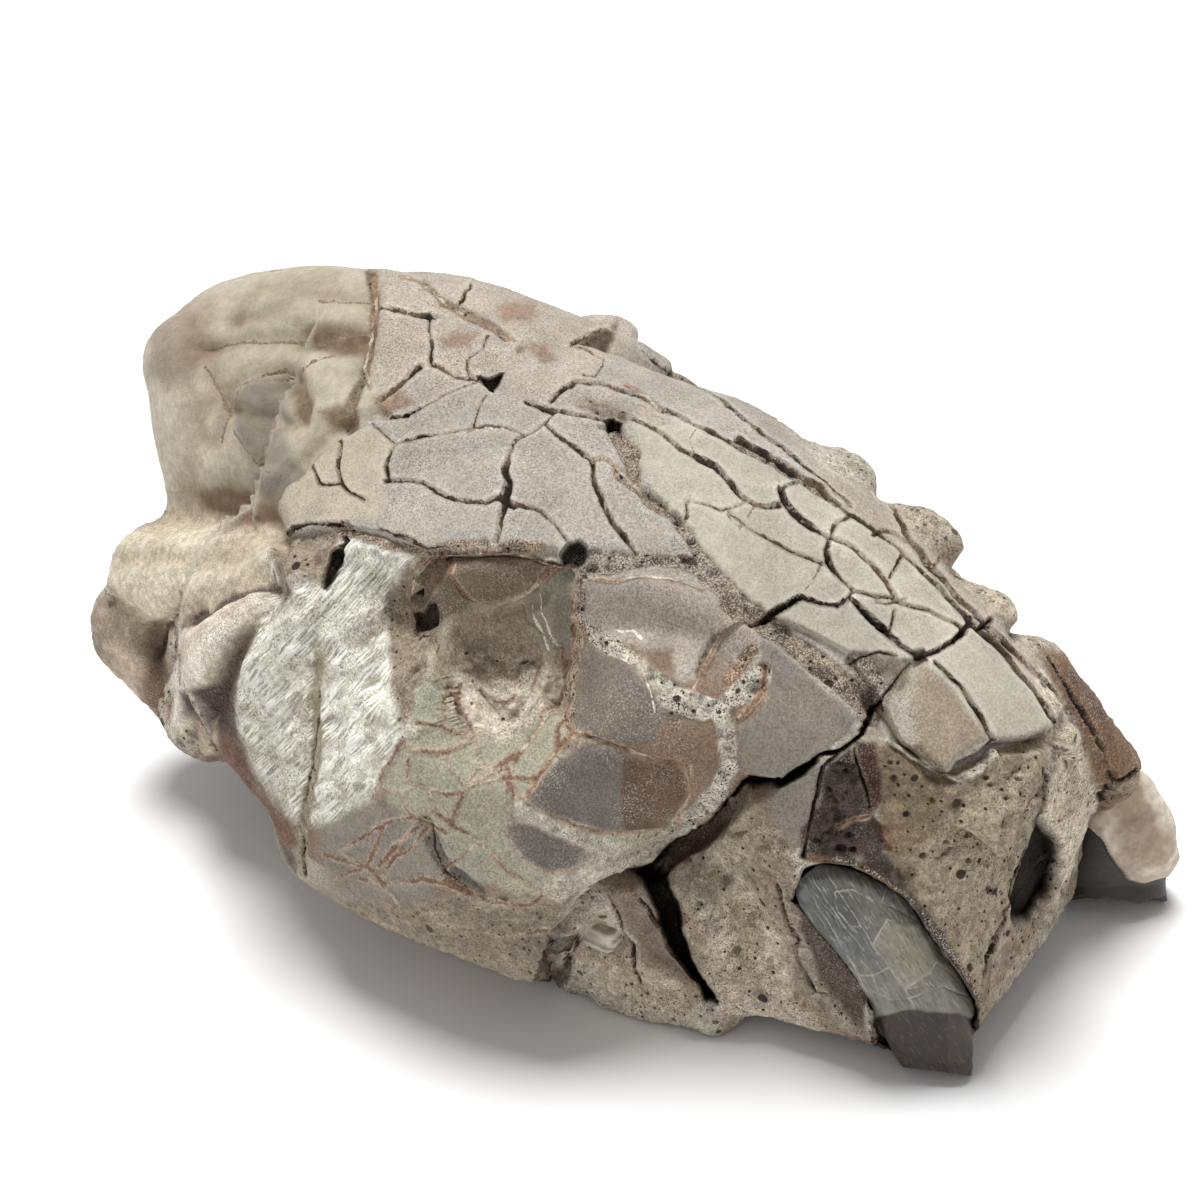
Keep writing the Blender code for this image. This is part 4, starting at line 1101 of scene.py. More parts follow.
def from_chain(places, net=SKULL_NET):
    """Nearest spot of a chain: how far, which way, and on which side of it."""
    ends, near, here = near_box(places, net)
    gap = np.full(len(near), 1e3)
    way, side = np.zeros((len(near), 2)), np.zeros(len(near))
    for a, b in zip(ends[:-1], ends[1:]):
        run, from_a = b - a, here - a
        t = np.clip(from_a @ run / (run @ run), 0, 1)
        to_spot = t[:, None] * run - from_a
        d = np.hypot(to_spot[:, 0], to_spot[:, 1])
        closer = d < gap
        gap = np.where(closer, d, gap)
        way = np.where(closer[:, None], to_spot, way)
        side = np.where(closer, run[0] * from_a[:, 1] - run[1] * from_a[:, 0], side)
    return near, gap, way, side


def in_outline(places, soft, net=SKULL_NET):
    """0 to 1 across the edge of an outline: a line to the left crosses it odd times."""
    near, gap, _, _ = from_chain(places + places[:2], net)
    ends, _, here = near_box(places, net)
    crossings = np.zeros(len(near), int)
    for a, b in zip(ends, np.roll(ends, -1, 0)):
        spans = (a[1] > here[:, 1]) != (b[1] > here[:, 1])
        rise = b[1] - a[1] if b[1] != a[1] else 1e-9
        meets = a[0] + (here[:, 1] - a[1]) * (b[0] - a[0]) / rise
        crossings += spans & (here[:, 0] < meets)
    signed = np.where(crossings % 2, gap, -gap)
    return near, ease(signed, -soft, soft)


print("one step of the picture is", round(float(step_mm[share > 0.5].mean()), 3), "mm")

# %% [markdown]
# ## What every point is made of
# First comes a guess from the place alone, good for the sides that are turned away: plates on the
# roof and the braincase, patches of grey bone in cream stone on the flanks, tan stone below.
# Painted shade darkens the lowest parts towards shadow brown and the faces that turn down towards
# purple-brown. Then each patch that is seen is laid over it in turn.

# %% Base colour, coarseness and lift
x, y, z = P[..., 0], P[..., 1], P[..., 2]
ceiling, half = roof_height(x, y)
on_roof = ease(z - ceiling, -8, -4) * ease(half + 2 - np.abs(y), 0, 3) * ease(x, 46, 52)
on_case = ease(56 - x, 0, 8) * ease(z, 50, 60)
warped = P + 1.6 * np.stack([noise(P, 5, 21 + k) for k in range(3)], -1)
wall, cell_value, wall_way = cells(warped, 15.0, 31)
broad = fractal(P, 26, 3, 41)
flank = ease(np.abs(y), 22, 30) * ease(z, 14, 22) * ease(x, 50, 60) * (1 - on_roof)
bone = np.maximum(on_roof, on_case)


def mix(a, b, share_of_b):
    """Part of a and part of b."""
    return a + (b - a) * np.asarray(share_of_b)[..., None]


tint = mix(CREAM_STONE + 0 * P, TAN_STONE, ease(broad, -0.2, 0.5))
# Painted shade: the lowest 25 mm darken towards shadow brown.
tint = mix(tint, SHADOW_BROWN, ease(25 - z, 0, 20) * 0.5)
painted_shade_below = ease(-N[..., 2], 0.1, 0.6)
flank_bone = mix(mix(CELL_BONE, GREY_PLATE, ease(cell_value, 0.3, 0.5)), BROWN_PLATE,
                 ease(cell_value, 0.75, 0.85))
in_plate = flank * ease(cell_value, 0.25, 0.35)
tint = mix(tint, flank_bone, in_plate)
tint = mix(tint, mix(LEFT_BONE, ROOF_BONE, cell_value), on_roof)
tint = mix(tint, mix(CASE_BONE, SLATE, ease(broad, 0.3, 0.7)), on_case * (1 - on_roof))
# Painted shade: faces that turn down darken towards purple-brown.
tint = mix(tint, LOW_PURPLE, 0.7 * painted_shade_below)
grain = 1 - 0.9 * np.maximum(bone, in_plate)
lift = 0.25 * np.maximum(on_roof, in_plate) * (cell_value - 0.4)
tint, grain, lift = tint.reshape(-1, 3), grain.ravel(), lift.ravel()
print("mean coarseness of the first guess", round(float(grain.mean()), 2))

# %% [markdown]
# Each patch and band also says how gritty its place is, which the shader turns into
# specks, how crumbly, which roughens the relief, and how much of it is the white
# stone that carries strokes. The width of a band wanders along it.

# %% Patches and bands laid over the first guess
PLAIN_GRIT, CLEAN_GRIT, SMOOTH_GRIT, RUBBLE_GRIT = 1.0, 0.5, 0.2, 1.8
RUBBLE = 1.0
CRUMBLY_FROM = 0.9
grit = 1 - 0.6 * on_case.ravel()
crumbly = np.zeros(grit.shape)
whiteness = np.zeros(grit.shape)


def lay_over(near, cover, colour, coarse_share, raised):
    """Each property of the points moves to the patch's by its share of cover."""
    tint[near] = mix(tint[near], colour, cover)
    grain[near] += (coarse_share - grain[near]) * cover
    lift[near] = lift[near] * (1 - cover) + raised * cover
    whiteness[near] += ((colour is WHITE_STONE) - whiteness[near]) * cover


def is_one_of(colour, finishes):
    """Whether the colour is that very finish and not only one like it."""
    return any(colour is finish for finish in finishes)


for colour, coarse_share, raised, soft, places in PATCHES:
    near, cover = in_outline(places, soft)
    cover = cover * share[near]
    lay_over(near, cover, colour, coarse_share, raised)
    here = CLEAN_GRIT if is_one_of(colour, CLEAN_FINISHES) else PLAIN_GRIT
    here = SMOOTH_GRIT if is_one_of(colour, SMOOTH_FINISHES) else here
    grit[near] += (here - grit[near]) * cover
wander = ease(noise(P, 4.5, 95) + 0.5 * noise(P, 1.7, 96), -0.9, 0.9).ravel()
for colour, coarse_share, raised, half_width, places in BANDS:
    near, gap, _, _ = from_chain(places)
    cover = ease(half_width * (0.6 + 0.8 * wander[near]) - gap, -1.5, 1.5) * share[near]
    lay_over(near, cover, colour, coarse_share, raised)
    if coarse_share > CRUMBLY_FROM:
        crumbly[near] = np.maximum(crumbly[near], cover)
    here = RUBBLE_GRIT if coarse_share == RUBBLE else PLAIN_GRIT
    grit[near] = np.maximum(grit[near], here * cover)
print("mean coarseness", round(float(grain.mean()), 2))

# %% [markdown]
# ## Cracks on the net
# A crack thinner than the mesh would come out as a row of notches. So the points
# nearest to it are drawn on to its middle line first, never farther than half a step
# of the net, and that line becomes the bottom of a clean groove. A crack is near
# black where it gapes and brown where it is tight. On the sides that the eye doesn't
# see, the walls between random cells are the cracks.

# %% Crack distance, depth and the pull towards the middle line
DEEP_CRACK, MARKED_CRACK = 3.0, 0.6
TIGHT, GAPE = 0.42, 0.93
SIDE_LIFT, SIDE_SPREAD = 0.8, 3.5
RIM_PLACE, RIM_WIDTH, RIM_HIGHLIGHT = 0.45, 0.3, 0.12
seam = np.full(len(share), FAR)
seam_tint = np.tile(CRACK_DARK, (len(share), 1))
groove = np.zeros(len(share))
dig = np.zeros(len(share))
pull = np.zeros((len(share), 3))
pull_gap = np.full(len(share), 1e3)
normals = N.reshape(-1, 3)
flat = P.reshape(-1, 3)


def pull_to(near, way):
    """Move along the surface to where the line of sight of the crack meets it."""
    ray = sight(across.ravel()[near] + way[:, 0], down.ravel()[near] + way[:, 1])
    reach = ((flat[near] - EYE) * normals[near]).sum(-1) / (ray * normals[near]).sum(-1)
    return EYE + ray * reach[:, None] - flat[near]


def lay_cracks(cracks, wide_colour, thin_colour, side_colour, shoulder, seed):
    """Groove, colour and uneven sides of each crack, whose width wanders along it. The sides sink
    or rise by an exponential of the distance from it, and a marked crack has a painted highlight:
    a paler rim, a bell curve of the same distance."""
    uneven = np.random.default_rng(seed).uniform(-0.3, 0.3, len(cracks))
    for (half_width, deep, places), one_side in zip(cracks, uneven):
        near, gap, way, side = from_chain(places)
        openness = np.ones(len(near)) if deep > DEEP_CRACK else wander[near]
        inner = half_width * (TIGHT + GAPE * openness) * step_mm[near]
        mm = gap * step_mm[near]
        core = (1 - ease(mm, 0.3 * inner, inner + 0.08)) * share[near]
        wide = (1 - ease(mm, inner, inner + 0.35)) * share[near]
        if deep > DEEP_CRACK:
            dig[near] = np.maximum(dig[near], deep * core)
        else:
            groove[near] = np.maximum(groove[near], deep * core * (0.5 + 0.6 * openness))
        if deep > MARKED_CRACK:
            fade = ease(MARGIN - gap, 0, 12) * share[near]
            bent = one_side * np.sign(side) * np.exp(-mm / SIDE_SPREAD)
            lift[near] += bent * fade * SIDE_LIFT
            # Painted highlight: a paler rim beside a marked crack, where light would catch the
            # plate's edge.
            rim = np.exp(-((mm - inner - RIM_PLACE) / RIM_WIDTH) ** 2)
            rim = rim * (1 - grain[near]) * share[near]
            tint[near] *= 1 + RIM_HIGHLIGHT * rim[:, None]
        tint[near] = mix(tint[near], side_colour, shoulder * wide)
        grain[near] = np.maximum(grain[near], shoulder * wide)
        value = mm - inner + (1 - share[near]) * FAR
        first = value < seam[near]
        seam[near] = np.where(first, value, seam[near])
        heart = ease(openness, 0.2, 0.7) * ease(1 - mm / inner, -0.3, 0.3)
        colour = mix(thin_colour, wide_colour, heart)
        seam_tint[near] = np.where(first[:, None], colour, seam_tint[near])
        closest = gap < pull_gap[near]
        pull_gap[near] = np.where(closest, gap, pull_gap[near])
        pull[near] = np.where(closest[:, None], pull_to(near, way), pull[near])


lay_cracks(FAINT_LINES, FAINT, FOLD_BROWN_AND_SHADE, CASE_SIDE, 0.15, 1)
lay_cracks(SCRATCHES, WHITE_STONE, WHITE_STONE, WHITE_STONE, 0.0, 5)
lay_cracks(VEINS, VEIN_PINK, VEIN_SIDE, VEIN_SIDE, 0.7, 2)
lay_cracks(RUST_SEAMS, RUST, CREAM_STONE, RIM_STONE, 0.7, 3)
lay_cracks(OPEN_CRACKS + BACK_CRACKS + SNOUT_CRACKS, NEAR_BLACK, THIN_CRACK, SEAM_BROWN,
           0.5, 4)
print("share of points in a crack that is seen:", round(float((seam < 0).mean()), 3))

# %% Cracks of the hidden sides
HIDDEN_HALF, HIDDEN_DEPTH = 0.30, 1.1
RUSTY_FROM = 0.6
unseen = 1 - ease(share, 0.0, 0.3)
cracked = np.maximum(bone, 0.8 * flank).ravel() * unseen
open_share = ease(fractal(P, 18, 2, 51).ravel(), -0.5, 0.1)
hidden_half = HIDDEN_HALF * open_share
hidden_gap = wall.ravel() * 0.9
hidden_seam = hidden_gap - hidden_half + (1 - cracked) * FAR
groove = np.maximum(groove, HIDDEN_DEPTH * cracked * open_share
                    * (1 - ease(hidden_gap, 0.15, hidden_half + 0.3)))
hidden = hidden_seam < seam
seam = np.where(hidden, hidden_seam, seam)
seam_tint[hidden & (cell_value.ravel() > RUSTY_FROM)] = RUST
along_wall = wall_way.reshape(-1, 3)
along_wall = along_wall - normals * (along_wall * normals).sum(-1, keepdims=True)
pull[hidden] = (along_wall * hidden_gap[:, None])[hidden]
print("share of points in a crack:", round(float((seam < 0).mean()), 3))

# %% Snap the points next to a crack on to its middle line
SNAP_SHARE = 0.52
ring_step = np.gradient(P, axis=0).reshape(-1, 3)
column_step = ((np.roll(P, -1, 1) - np.roll(P, 1, 1)) / 2).reshape(-1, 3)
sharp = seam.copy()
for _, _, places in STEPS:
    near, gap, way, _ = from_chain(places)
    closest = (gap < pull_gap[near]) & (share[near] > 0.5)
    pull_gap[near] = np.where(closest, gap, pull_gap[near])
    pull[near] = np.where(closest[:, None], pull_to(near, way), pull[near])
    sharp[near] = np.where(closest, np.minimum(sharp[near], gap * step_mm[near]), sharp[near])
pull_size = np.linalg.norm(pull, axis=-1)
pull_way = pull / (pull_size[:, None] + 1e-9)
across_step = np.maximum(np.abs((ring_step * pull_way).sum(-1)),
                         np.abs((column_step * pull_way).sum(-1)))
snapped = (pull_size < SNAP_SHARE * across_step) & (sharp < 0.4) & (pull_size > 0)
flat = flat + pull * snapped[:, None]
seam = np.where(snapped & (seam < 0.4), np.minimum(seam, -0.12), seam)
print(int(snapped.sum()), "points were drawn on to cracks")

# %% [markdown]
# ## Relief
# The normals are taken before the grooves are sunk, so that a plate stays flat right
# up to its broken edge. Bone is smooth, with the faint swell of its growth. Stone is
# rough at every size and pitted. The white stone beside the eye socket keeps the
# strokes of the tool that cleaned it: they run slantwise, long and narrow, so their
# noise is stretched.

# %% Relief of bone, stone and strokes
SMOOTHING = 4


def smoothed(normals_of_net):
    """Each normal shared with its neighbours a few times over."""
    made = normals_of_net
    for _ in range(SMOOTHING):
        made = made + np.roll(made, 1, 1) + np.roll(made, -1, 1)
        made[1:-1] = made[:-2] + made[1:-1] + made[2:]
        made = unit(made)
    return made


rough = 0.42 * fractal(P, 7.0, 4, 61) + 0.10 * noise(P, 0.8, 66)
ridged = 0.5 - np.abs(fractal(P, 3.0, 3, 71))
swell = 0.22 * fractal(P, 11.0, 3, 75) + 0.06 * noise(P, 1.6, 79) + 0.03 * noise(P, 0.8, 80)
relief = grain * (rough.ravel() + 0.45 * ridged.ravel()) + (1 - grain) * swell.ravel()
across_strokes = (across * 0.75 + down * 0.66).ravel()
along_strokes = (down * 0.75 - across * 0.66).ravel()
scoops = noise(np.stack([across_strokes / 13.0, along_strokes / 20.0, 0 * share], -1), 1.0, 83)
relief += whiteness * (0.6 * scoops + 0.9 * (0.4 - np.abs(fractal(P, 4.5, 3, 87))).ravel())
mossy = 0.55 * whiteness * ease(fractal(P, 3.6, 3, 89).ravel(), 0.0, 0.7)
tint = mix(tint, MOSS_TAN, mossy)
strokes = np.stack([across_strokes / 2.6, along_strokes / 26.0, 0 * share, whiteness], -1)
print("relief of bone and stone up to", round(float(relief.max()), 1), "mm")

# %% Pits, deep places, bowls, folds and steps
PAINTED_FOLD_SHADE = np.array([0.80, 0.76, 0.72])
pit_wall, pit_value, _ = cells(P, 3.4, 91)
pitted = ease(grain, 0.75, 0.95) * ease(pit_value.ravel(), 0.68, 0.75)
relief -= 0.9 * pitted * ease(pit_wall.ravel(), 0.5, 1.3)
for pit_across, pit_down, radius, deep in PITS:
    gap = np.hypot(shaken_across - pit_across, (shaken_down - pit_down) * 1.2)
    relief -= deep * share * (1 - ease(gap, radius * 0.4, radius * 1.3))
# Painted shade: each deep place is tinted towards near black by its share.
for deep, soft, painted_shade_share, places in DEEP_PLACES:
    near, cover = in_outline(places, soft)
    cover = cover * with_rim[near]
    dig[near] = np.maximum(dig[near], deep * cover)
    tint[near] = mix(tint[near], NEAR_BLACK, painted_shade_share * cover)
for bowl_across, bowl_down, wide, tall, deep in BOWLS:
    gap = np.hypot((shaken_across - bowl_across) / wide, (shaken_down - bowl_down) / tall)
    dig += deep * share * (1 - ease(gap, 0.0, 1.0))
# Painted shade: each fold also darkens the colour along its furrow.
for deep, width, places in FOLDS:
    near, gap, _, _ = from_chain(places)
    hollow = np.exp(-(gap * step_mm[near] / width) ** 2) * share[near]
    relief[near] -= deep * hollow
    tint[near] = mix(tint[near], tint[near] * PAINTED_FOLD_SHADE, hollow)
for deep, slope, places in STEPS:
    near, gap, _, side = from_chain(places)
    mm = gap * step_mm[near]
    fade = ease(MARGIN - gap, 0, 10)
    pressed = (side < 0) & ~(snapped[near] & (mm < 0.4))
    relief[near] -= deep * fade * np.exp(-mm / slope) * pressed * share[near]
print("dug up to", round(float(dig.max()), 1), "mm along the line of sight")

# %% Crumbs, worn edges and the finished net
crumbs = 0.6 * noise(P, 1.5, 97).ravel() + 0.5 * noise(P, 0.75, 98).ravel()
relief += 0.45 * crumbly * crumbs
tint *= (1 - (0.15 * grain + 0.30 * crumbly) * ease(-crumbs, 0.0, 0.5))[:, None]
tint *= (1 + (0.08 * grain + 0.10 * crumbly) * ease(crumbs, 0.1, 0.6))[:, None]

edge_wear = 0.08 * np.exp(-np.maximum(seam, 0) / 0.4) * (1 - grain)
relief += lift - edge_wear
outward = smoothed(N.copy()).reshape(-1, 3)
flat = flat + outward * relief[:, None] + unit(flat - EYE) * dig[:, None]
N = facing_of(flat.reshape(P.shape))
flat = flat - outward * groove[:, None]
flat[:, 2] = np.maximum(flat[:, 2], 0.0)
P = flat.reshape(P.shape)
print("relief from", round(float(relief.min()), 1), "to", round(float(relief.max()), 1), "mm")

# %% [markdown]
# ## From net to mesh
# Each four-sided cell of the net is split into two triangles, along the diagonal that
# lies nearer to a crack, so the bottom of a groove is an unbroken edge. The skull is
# one solid lump. It is cut into four meshes across its length only to keep each one
# light, and each is closed by a wall inside. They share one set of normals, so no
# join shows.

# %% Triangles and closing walls
PIECES = ("skull_braincase", "skull_cheeks", "skull_face", "skull_snout")
END_NORMALS = ((-1.0, 0.0, 0.0), (1.0, 0.0, 0.0))
ring_of = np.linspace(0, RINGS - 1, len(PIECES) + 1).astype(int)


def put_mesh(name, points, triangles):
    """Mesh from arrays of points in millimetres and triangles, in the frame's place."""
    mesh = bpy.data.meshes.new(name)
    mesh.vertices.add(len(points))
    mesh.vertices.foreach_set("co", ((points - BOX_MIDDLE) * MM).astype(np.float32).ravel())
    mesh.loops.add(triangles.size)
    mesh.loops.foreach_set("vertex_index", triangles.astype(np.int32).ravel())
    mesh.polygons.add(len(triangles))
    mesh.polygons.foreach_set("loop_start", np.arange(0, triangles.size, 3, dtype=np.int32))
    mesh.update()
    return mesh


def net_triangles(rows, columns, closeness, points):
    """Two triangles for each cell, split where the sum of closeness is least."""
    i, j = np.meshgrid(np.arange(rows - 1), np.arange(columns), indexing="ij")
    k = (j + 1) % columns
    a, b, c, d = i * columns + j, i * columns + k, (i + 1) * columns + k, (i + 1) * columns + j
    a, b, c, d = (q.ravel() for q in (a, b, c, d))
    long_ac = closeness[a] + closeness[c] + 0.2 * np.linalg.norm(points[a] - points[c], axis=-1)
    long_bd = closeness[b] + closeness[d] + 0.2 * np.linalg.norm(points[b] - points[d], axis=-1)
    first = long_ac <= long_bd
    one = np.where(first[:, None], np.stack([a, b, c], -1), np.stack([a, b, d], -1))
    two = np.where(first[:, None], np.stack([a, c, d], -1), np.stack([b, c, d], -1))
    return np.concatenate([one, two])


def end_fan(ring, columns, middle, forward):
    """Triangles from a ring to one middle point, facing along or against the rings."""
    j = np.arange(columns)
    k = (j + 1) % columns
    order = (np.full(columns, middle), ring * columns + j, ring * columns + k)
    if not forward:
        order = (order[0], order[2], order[1])
    return np.stack(order, -1)


print("rings where the meshes of the skull meet:", ring_of)

# %% Values on points, and pieces of the frame


def add_value(mesh, name, values):
    """One number or one colour for each point of the mesh."""
    if values.ndim == 1:
        mesh.attributes.new(name, "FLOAT", "POINT")
        mesh.attributes[name].data.foreach_set("value", values.astype(np.float32))
    else:
        fourth = np.ones((len(values), 4 - values.shape[1]))
        colour = np.concatenate([values, fourth], -1)
        mesh.attributes.new(name, "FLOAT_COLOR", "POINT")
        mesh.attributes[name].data.foreach_set("color", colour.astype(np.float32).ravel())


def in_scene(name, data):
    """New object that shows the data, put into the scene."""
    made = bpy.data.objects.new(name, data)
    bpy.context.scene.collection.objects.link(made)
    return made


def as_piece(name, mesh, finish, slot, *nodes):
    """Object for a mesh that rides on the root, and hides the solids of the named nodes."""
    piece = in_scene(name, mesh)
    mesh.materials.append(finish)
    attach(piece, "root")
    if nodes:
        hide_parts(*nodes)
    print(name, len(mesh.polygons), "triangles")


print("solids that the pieces stand for:", list(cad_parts))

# %% [markdown]
# ## The finish of bone and stone
# The colour of each place is already on the points. The shader only adds what is too
# fine for them: mottling, dark specks of pores, pale dust, the dark or rusty heart
# of each crack, and a small bump of grains. Everything is read from the object's own
# coordinates, so the pattern stays put from every side.

# %% Small helpers for shader nodes


class Shader:
    """A material with its nodes: each call adds one node and returns its output."""

    def __init__(self, name, roughness):
        self.material = bpy.data.materials.new(name)
        self.material.use_nodes = True
        self.tree = self.material.node_tree
        self.surface = self.tree.nodes["Principled BSDF"]
        self.surface.inputs["Roughness"].default_value = roughness
        self.surface.inputs["Specular IOR Level"].default_value = 0.3
        self.place = self.tree.nodes.new("ShaderNodeTexCoord").outputs["Object"]

    def link(self, socket, value):
        """Put a number or another node's output into a socket."""
        if isinstance(value, bpy.types.NodeSocket):
            self.tree.links.new(value, socket)
        else:
            socket.default_value = value

    def value_of(self, name, output):
        """Number or colour that the points of the mesh carry."""
        node = self.tree.nodes.new("ShaderNodeAttribute")
        node.attribute_name = name
        return node.outputs[output]

    def clouds(self, per_metre, detail=2.0, roughness=0.55, place=None):
        """Noise of so many features to the metre, from 0 to 1."""
        node = self.tree.nodes.new("ShaderNodeTexNoise")
        self.link(node.inputs["Vector"], place or self.place)
        node.inputs["Scale"].default_value = per_metre
        node.inputs["Detail"].default_value = detail
        node.inputs["Roughness"].default_value = roughness
        return node.outputs["Fac"]

    def holes(self, per_metre, smallest, largest):
        """Round spots of random size, 1 inside: radius as a share of their spacing."""
        node = self.tree.nodes.new("ShaderNodeTexVoronoi")
        self.link(node.inputs["Vector"], self.place)
        node.inputs["Scale"].default_value = per_metre
        parts = self.tree.nodes.new("ShaderNodeSeparateColor")
        self.link(parts.inputs["Color"], node.outputs["Color"])
        draw = self.math("POWER", parts.outputs["Red"], 4.0)
        radius = self.ramp(draw, 0.0, 1.0, smallest, largest)
        inside = self.math("SUBTRACT", radius, node.outputs["Distance"])
        return self.ramp(inside, -0.04, 0.04)

    def ramp(self, value, low, high, to_low=0.0, to_high=1.0):
        """The value spread from one range to another, and held at its ends."""
        node = self.tree.nodes.new("ShaderNodeMapRange")
        node.interpolation_type = "SMOOTHSTEP"
        for socket, number in zip(node.inputs, (value, low, high, to_low, to_high)):
            self.link(socket, number)
        return node.outputs["Result"]

    def math(self, kind, a, b):
        """Sum, difference or the like of two numbers."""
        node = self.tree.nodes.new("ShaderNodeMath")
        node.operation = kind
        self.link(node.inputs[0], a)
        self.link(node.inputs[1], b)
        return node.outputs["Value"]

    def times(self, product, *factors):
        """Product of numbers, two at a time."""
        for factor in factors:
            product = self.math("MULTIPLY", product, factor)
        return product

    def blend(self, share_of_b, a, b, kind="MIX"):
        """Two colours mixed, or one multiplied by the other."""
        node = self.tree.nodes.new("ShaderNodeMix")
        node.data_type = "RGBA"
        node.blend_type = kind
        sockets = {s.identifier: s for s in node.inputs}
        self.link(sockets["Factor_Float"], share_of_b)
        self.link(sockets["A_Color"], a)
        self.link(sockets["B_Color"], b)
        return next(s for s in node.outputs if s.identifier == "Result_Color")

    def grey(self, value):
        """A number as a grey colour, to multiply with."""
        node = self.tree.nodes.new("ShaderNodeCombineColor")
        for socket in node.inputs:
            self.link(socket, value)
        return node.outputs["Color"]

    def bump(self, height, millimetres):
        """Fine relief that only turns the light."""
        node = self.tree.nodes.new("ShaderNodeBump")
        node.inputs["Strength"].default_value = 1.0
        node.inputs["Distance"].default_value = millimetres * MM
        self.link(node.inputs["Height"], height)
        self.link(self.surface.inputs["Normal"], node.outputs["Normal"])


def rgba(colour):
    """Colour with its fourth number."""
    return (*[float(c) for c in colour], 1.0)


print("mid grey with its fourth number", rgba(shade(128, 128, 128)))

# %% Bone and stone
SPECK = shade(66, 54, 46)
DUST = shade(222, 215, 202)
PORE = shade(46, 37, 29)
SCRATCH = shade(252, 251, 244)
WARM_STAIN = shade(168, 140, 116)


def mottled(s, grains, crumbs, coarse_share, grit_here):
    """Colour of the point, times three sizes of mottling, and warm in places."""
    large = s.ramp(s.clouds(110, 6.0, 0.65), 0.3, 0.7, 0.86, 1.10)
    middle = s.ramp(crumbs, 0.34, 0.66, s.ramp(coarse_share, 0, 1, 0.93, 0.66),
                    s.ramp(coarse_share, 0, 1, 1.05, 1.22))
    fine = s.ramp(grains, 0.36, 0.64, s.ramp(grit_here, 0, 1, 1.0, 0.76),
                  s.ramp(grit_here, 0, 1, 1.0, 1.20))
    mottling = s.grey(s.times(large, middle, fine))
    colour = s.blend(1.0, s.value_of("tint", "Color"), mottling, "MULTIPLY")
    warm = s.ramp(s.clouds(75, 4.0), 0.52, 0.72, 0.0, 0.20)
    return s.blend(warm, colour, rgba(WARM_STAIN))


def speckled(s, colour, gap, stony, grit_here):
    """Dark specks away from cracks, pale grains in rubble and pale dust on bone, all
    from one noise: it is high for specks and dust, and low for grains."""
    dots = s.clouds(4000, 2.0, 0.5)
    inland = s.ramp(gap, 0.15, 1.1, 0.25, 1.0)
    patchy = s.ramp(s.clouds(150, 3.0), 0.35, 0.65, 0.3, 1.0)
    specks = s.times(s.ramp(dots, 0.53, 0.61, 0.0, 0.8), inland, patchy, grit_here)
    colour = s.blend(specks, colour, rgba(SPECK))
    rubble = s.ramp(grit_here, 1.05, 1.7, 0.0, 0.6)
    colour = s.blend(s.times(s.ramp(dots, 0.47, 0.41), rubble), colour, rgba(DUST))
    brightness = s.value_of("tint", "Fac")
    dusty = s.times(s.ramp(brightness, 0.15, 0.42, 0.5, 0.16), s.ramp(stony, 0, 1, 1.0, 0.3),
                    s.ramp(brightness, 0.01, 0.08), s.ramp(grit_here, 0.1, 0.9), patchy)
    return s.blend(s.ramp(dots, 0.54, 0.62, 0.0, dusty), colour, rgba(DUST))


def scraped_by_tool(s, colour, lines, scraped):
    """Pale and brown lines where the noise along the strokes is high and low."""
    colour = s.blend(s.times(s.ramp(lines, 0.50, 0.57), scraped, 0.95), colour, rgba(SCRATCH))
    return s.blend(s.times(s.ramp(lines, 0.47, 0.39), scraped, 0.5), colour, rgba(SEAM_BROWN))


def bone_and_stone():
    """Mottling, then specks, pores, strokes and the dark or rusty heart of cracks."""
    s = Shader("bone_and_matrix", 0.9)
    s.surface.inputs["Specular IOR Level"].default_value = 0.15
    coarse_share = s.value_of("grain", "Fac")
    grit_here = s.value_of("tint", "Alpha")
    grains = s.clouds(2600, 3.0, 0.7)
    crumbs = s.clouds(700, 6.0, 0.72)
    colour = mottled(s, grains, crumbs, coarse_share, grit_here)
    ragged = s.times(s.math("SUBTRACT", grains, 0.5), 0.35)
    ragged = s.math("ADD", ragged, s.ramp(s.clouds(420, 3.0), 0.3, 0.7, -0.12, 0.14))
    gap = s.math("ADD", s.value_of("seam", "Fac"), ragged)
    stony = s.ramp(coarse_share, 0.55, 0.9)
    colour = speckled(s, colour, gap, stony, grit_here)
    pores = s.times(s.math("MAXIMUM", s.holes(330, 0.0, 0.26), s.holes(1250, 0.05, 0.36)), stony)
    colour = s.blend(s.times(pores, 0.92), colour, rgba(PORE))
    lines = s.clouds(1.0, 2.0, 0.55, s.value_of("strokes", "Vector"))
    scraped = s.times(s.value_of("strokes", "Alpha"),
                      s.ramp(s.clouds(230, 2.0), 0.42, 0.56, 0.1, 1.0))
    colour = scraped_by_tool(s, colour, lines, scraped)
    sediment = s.grey(s.ramp(grains, 0.35, 0.65, 0.6, 1.4))
    sediment = s.blend(1.0, s.value_of("seam_tint", "Color"), sediment, "MULTIPLY")
    colour = s.blend(s.ramp(gap, -0.04, 0.05, 0.94, 0.0), colour, sediment)
    s.link(s.surface.inputs["Base Color"], colour)
    height = s.times(crumbs, s.ramp(coarse_share, 0, 1, 0.15, 1.5))
    for part in (s.times(grains, 0.3), s.times(lines, scraped, 1.2), s.times(pores, -0.5)):
        height = s.math("ADD", height, part)
    s.bump(height, 0.45)
    return s.material


bone_finish = bone_and_stone()
print("bone_and_matrix has", len(bone_finish.node_tree.nodes), "nodes")

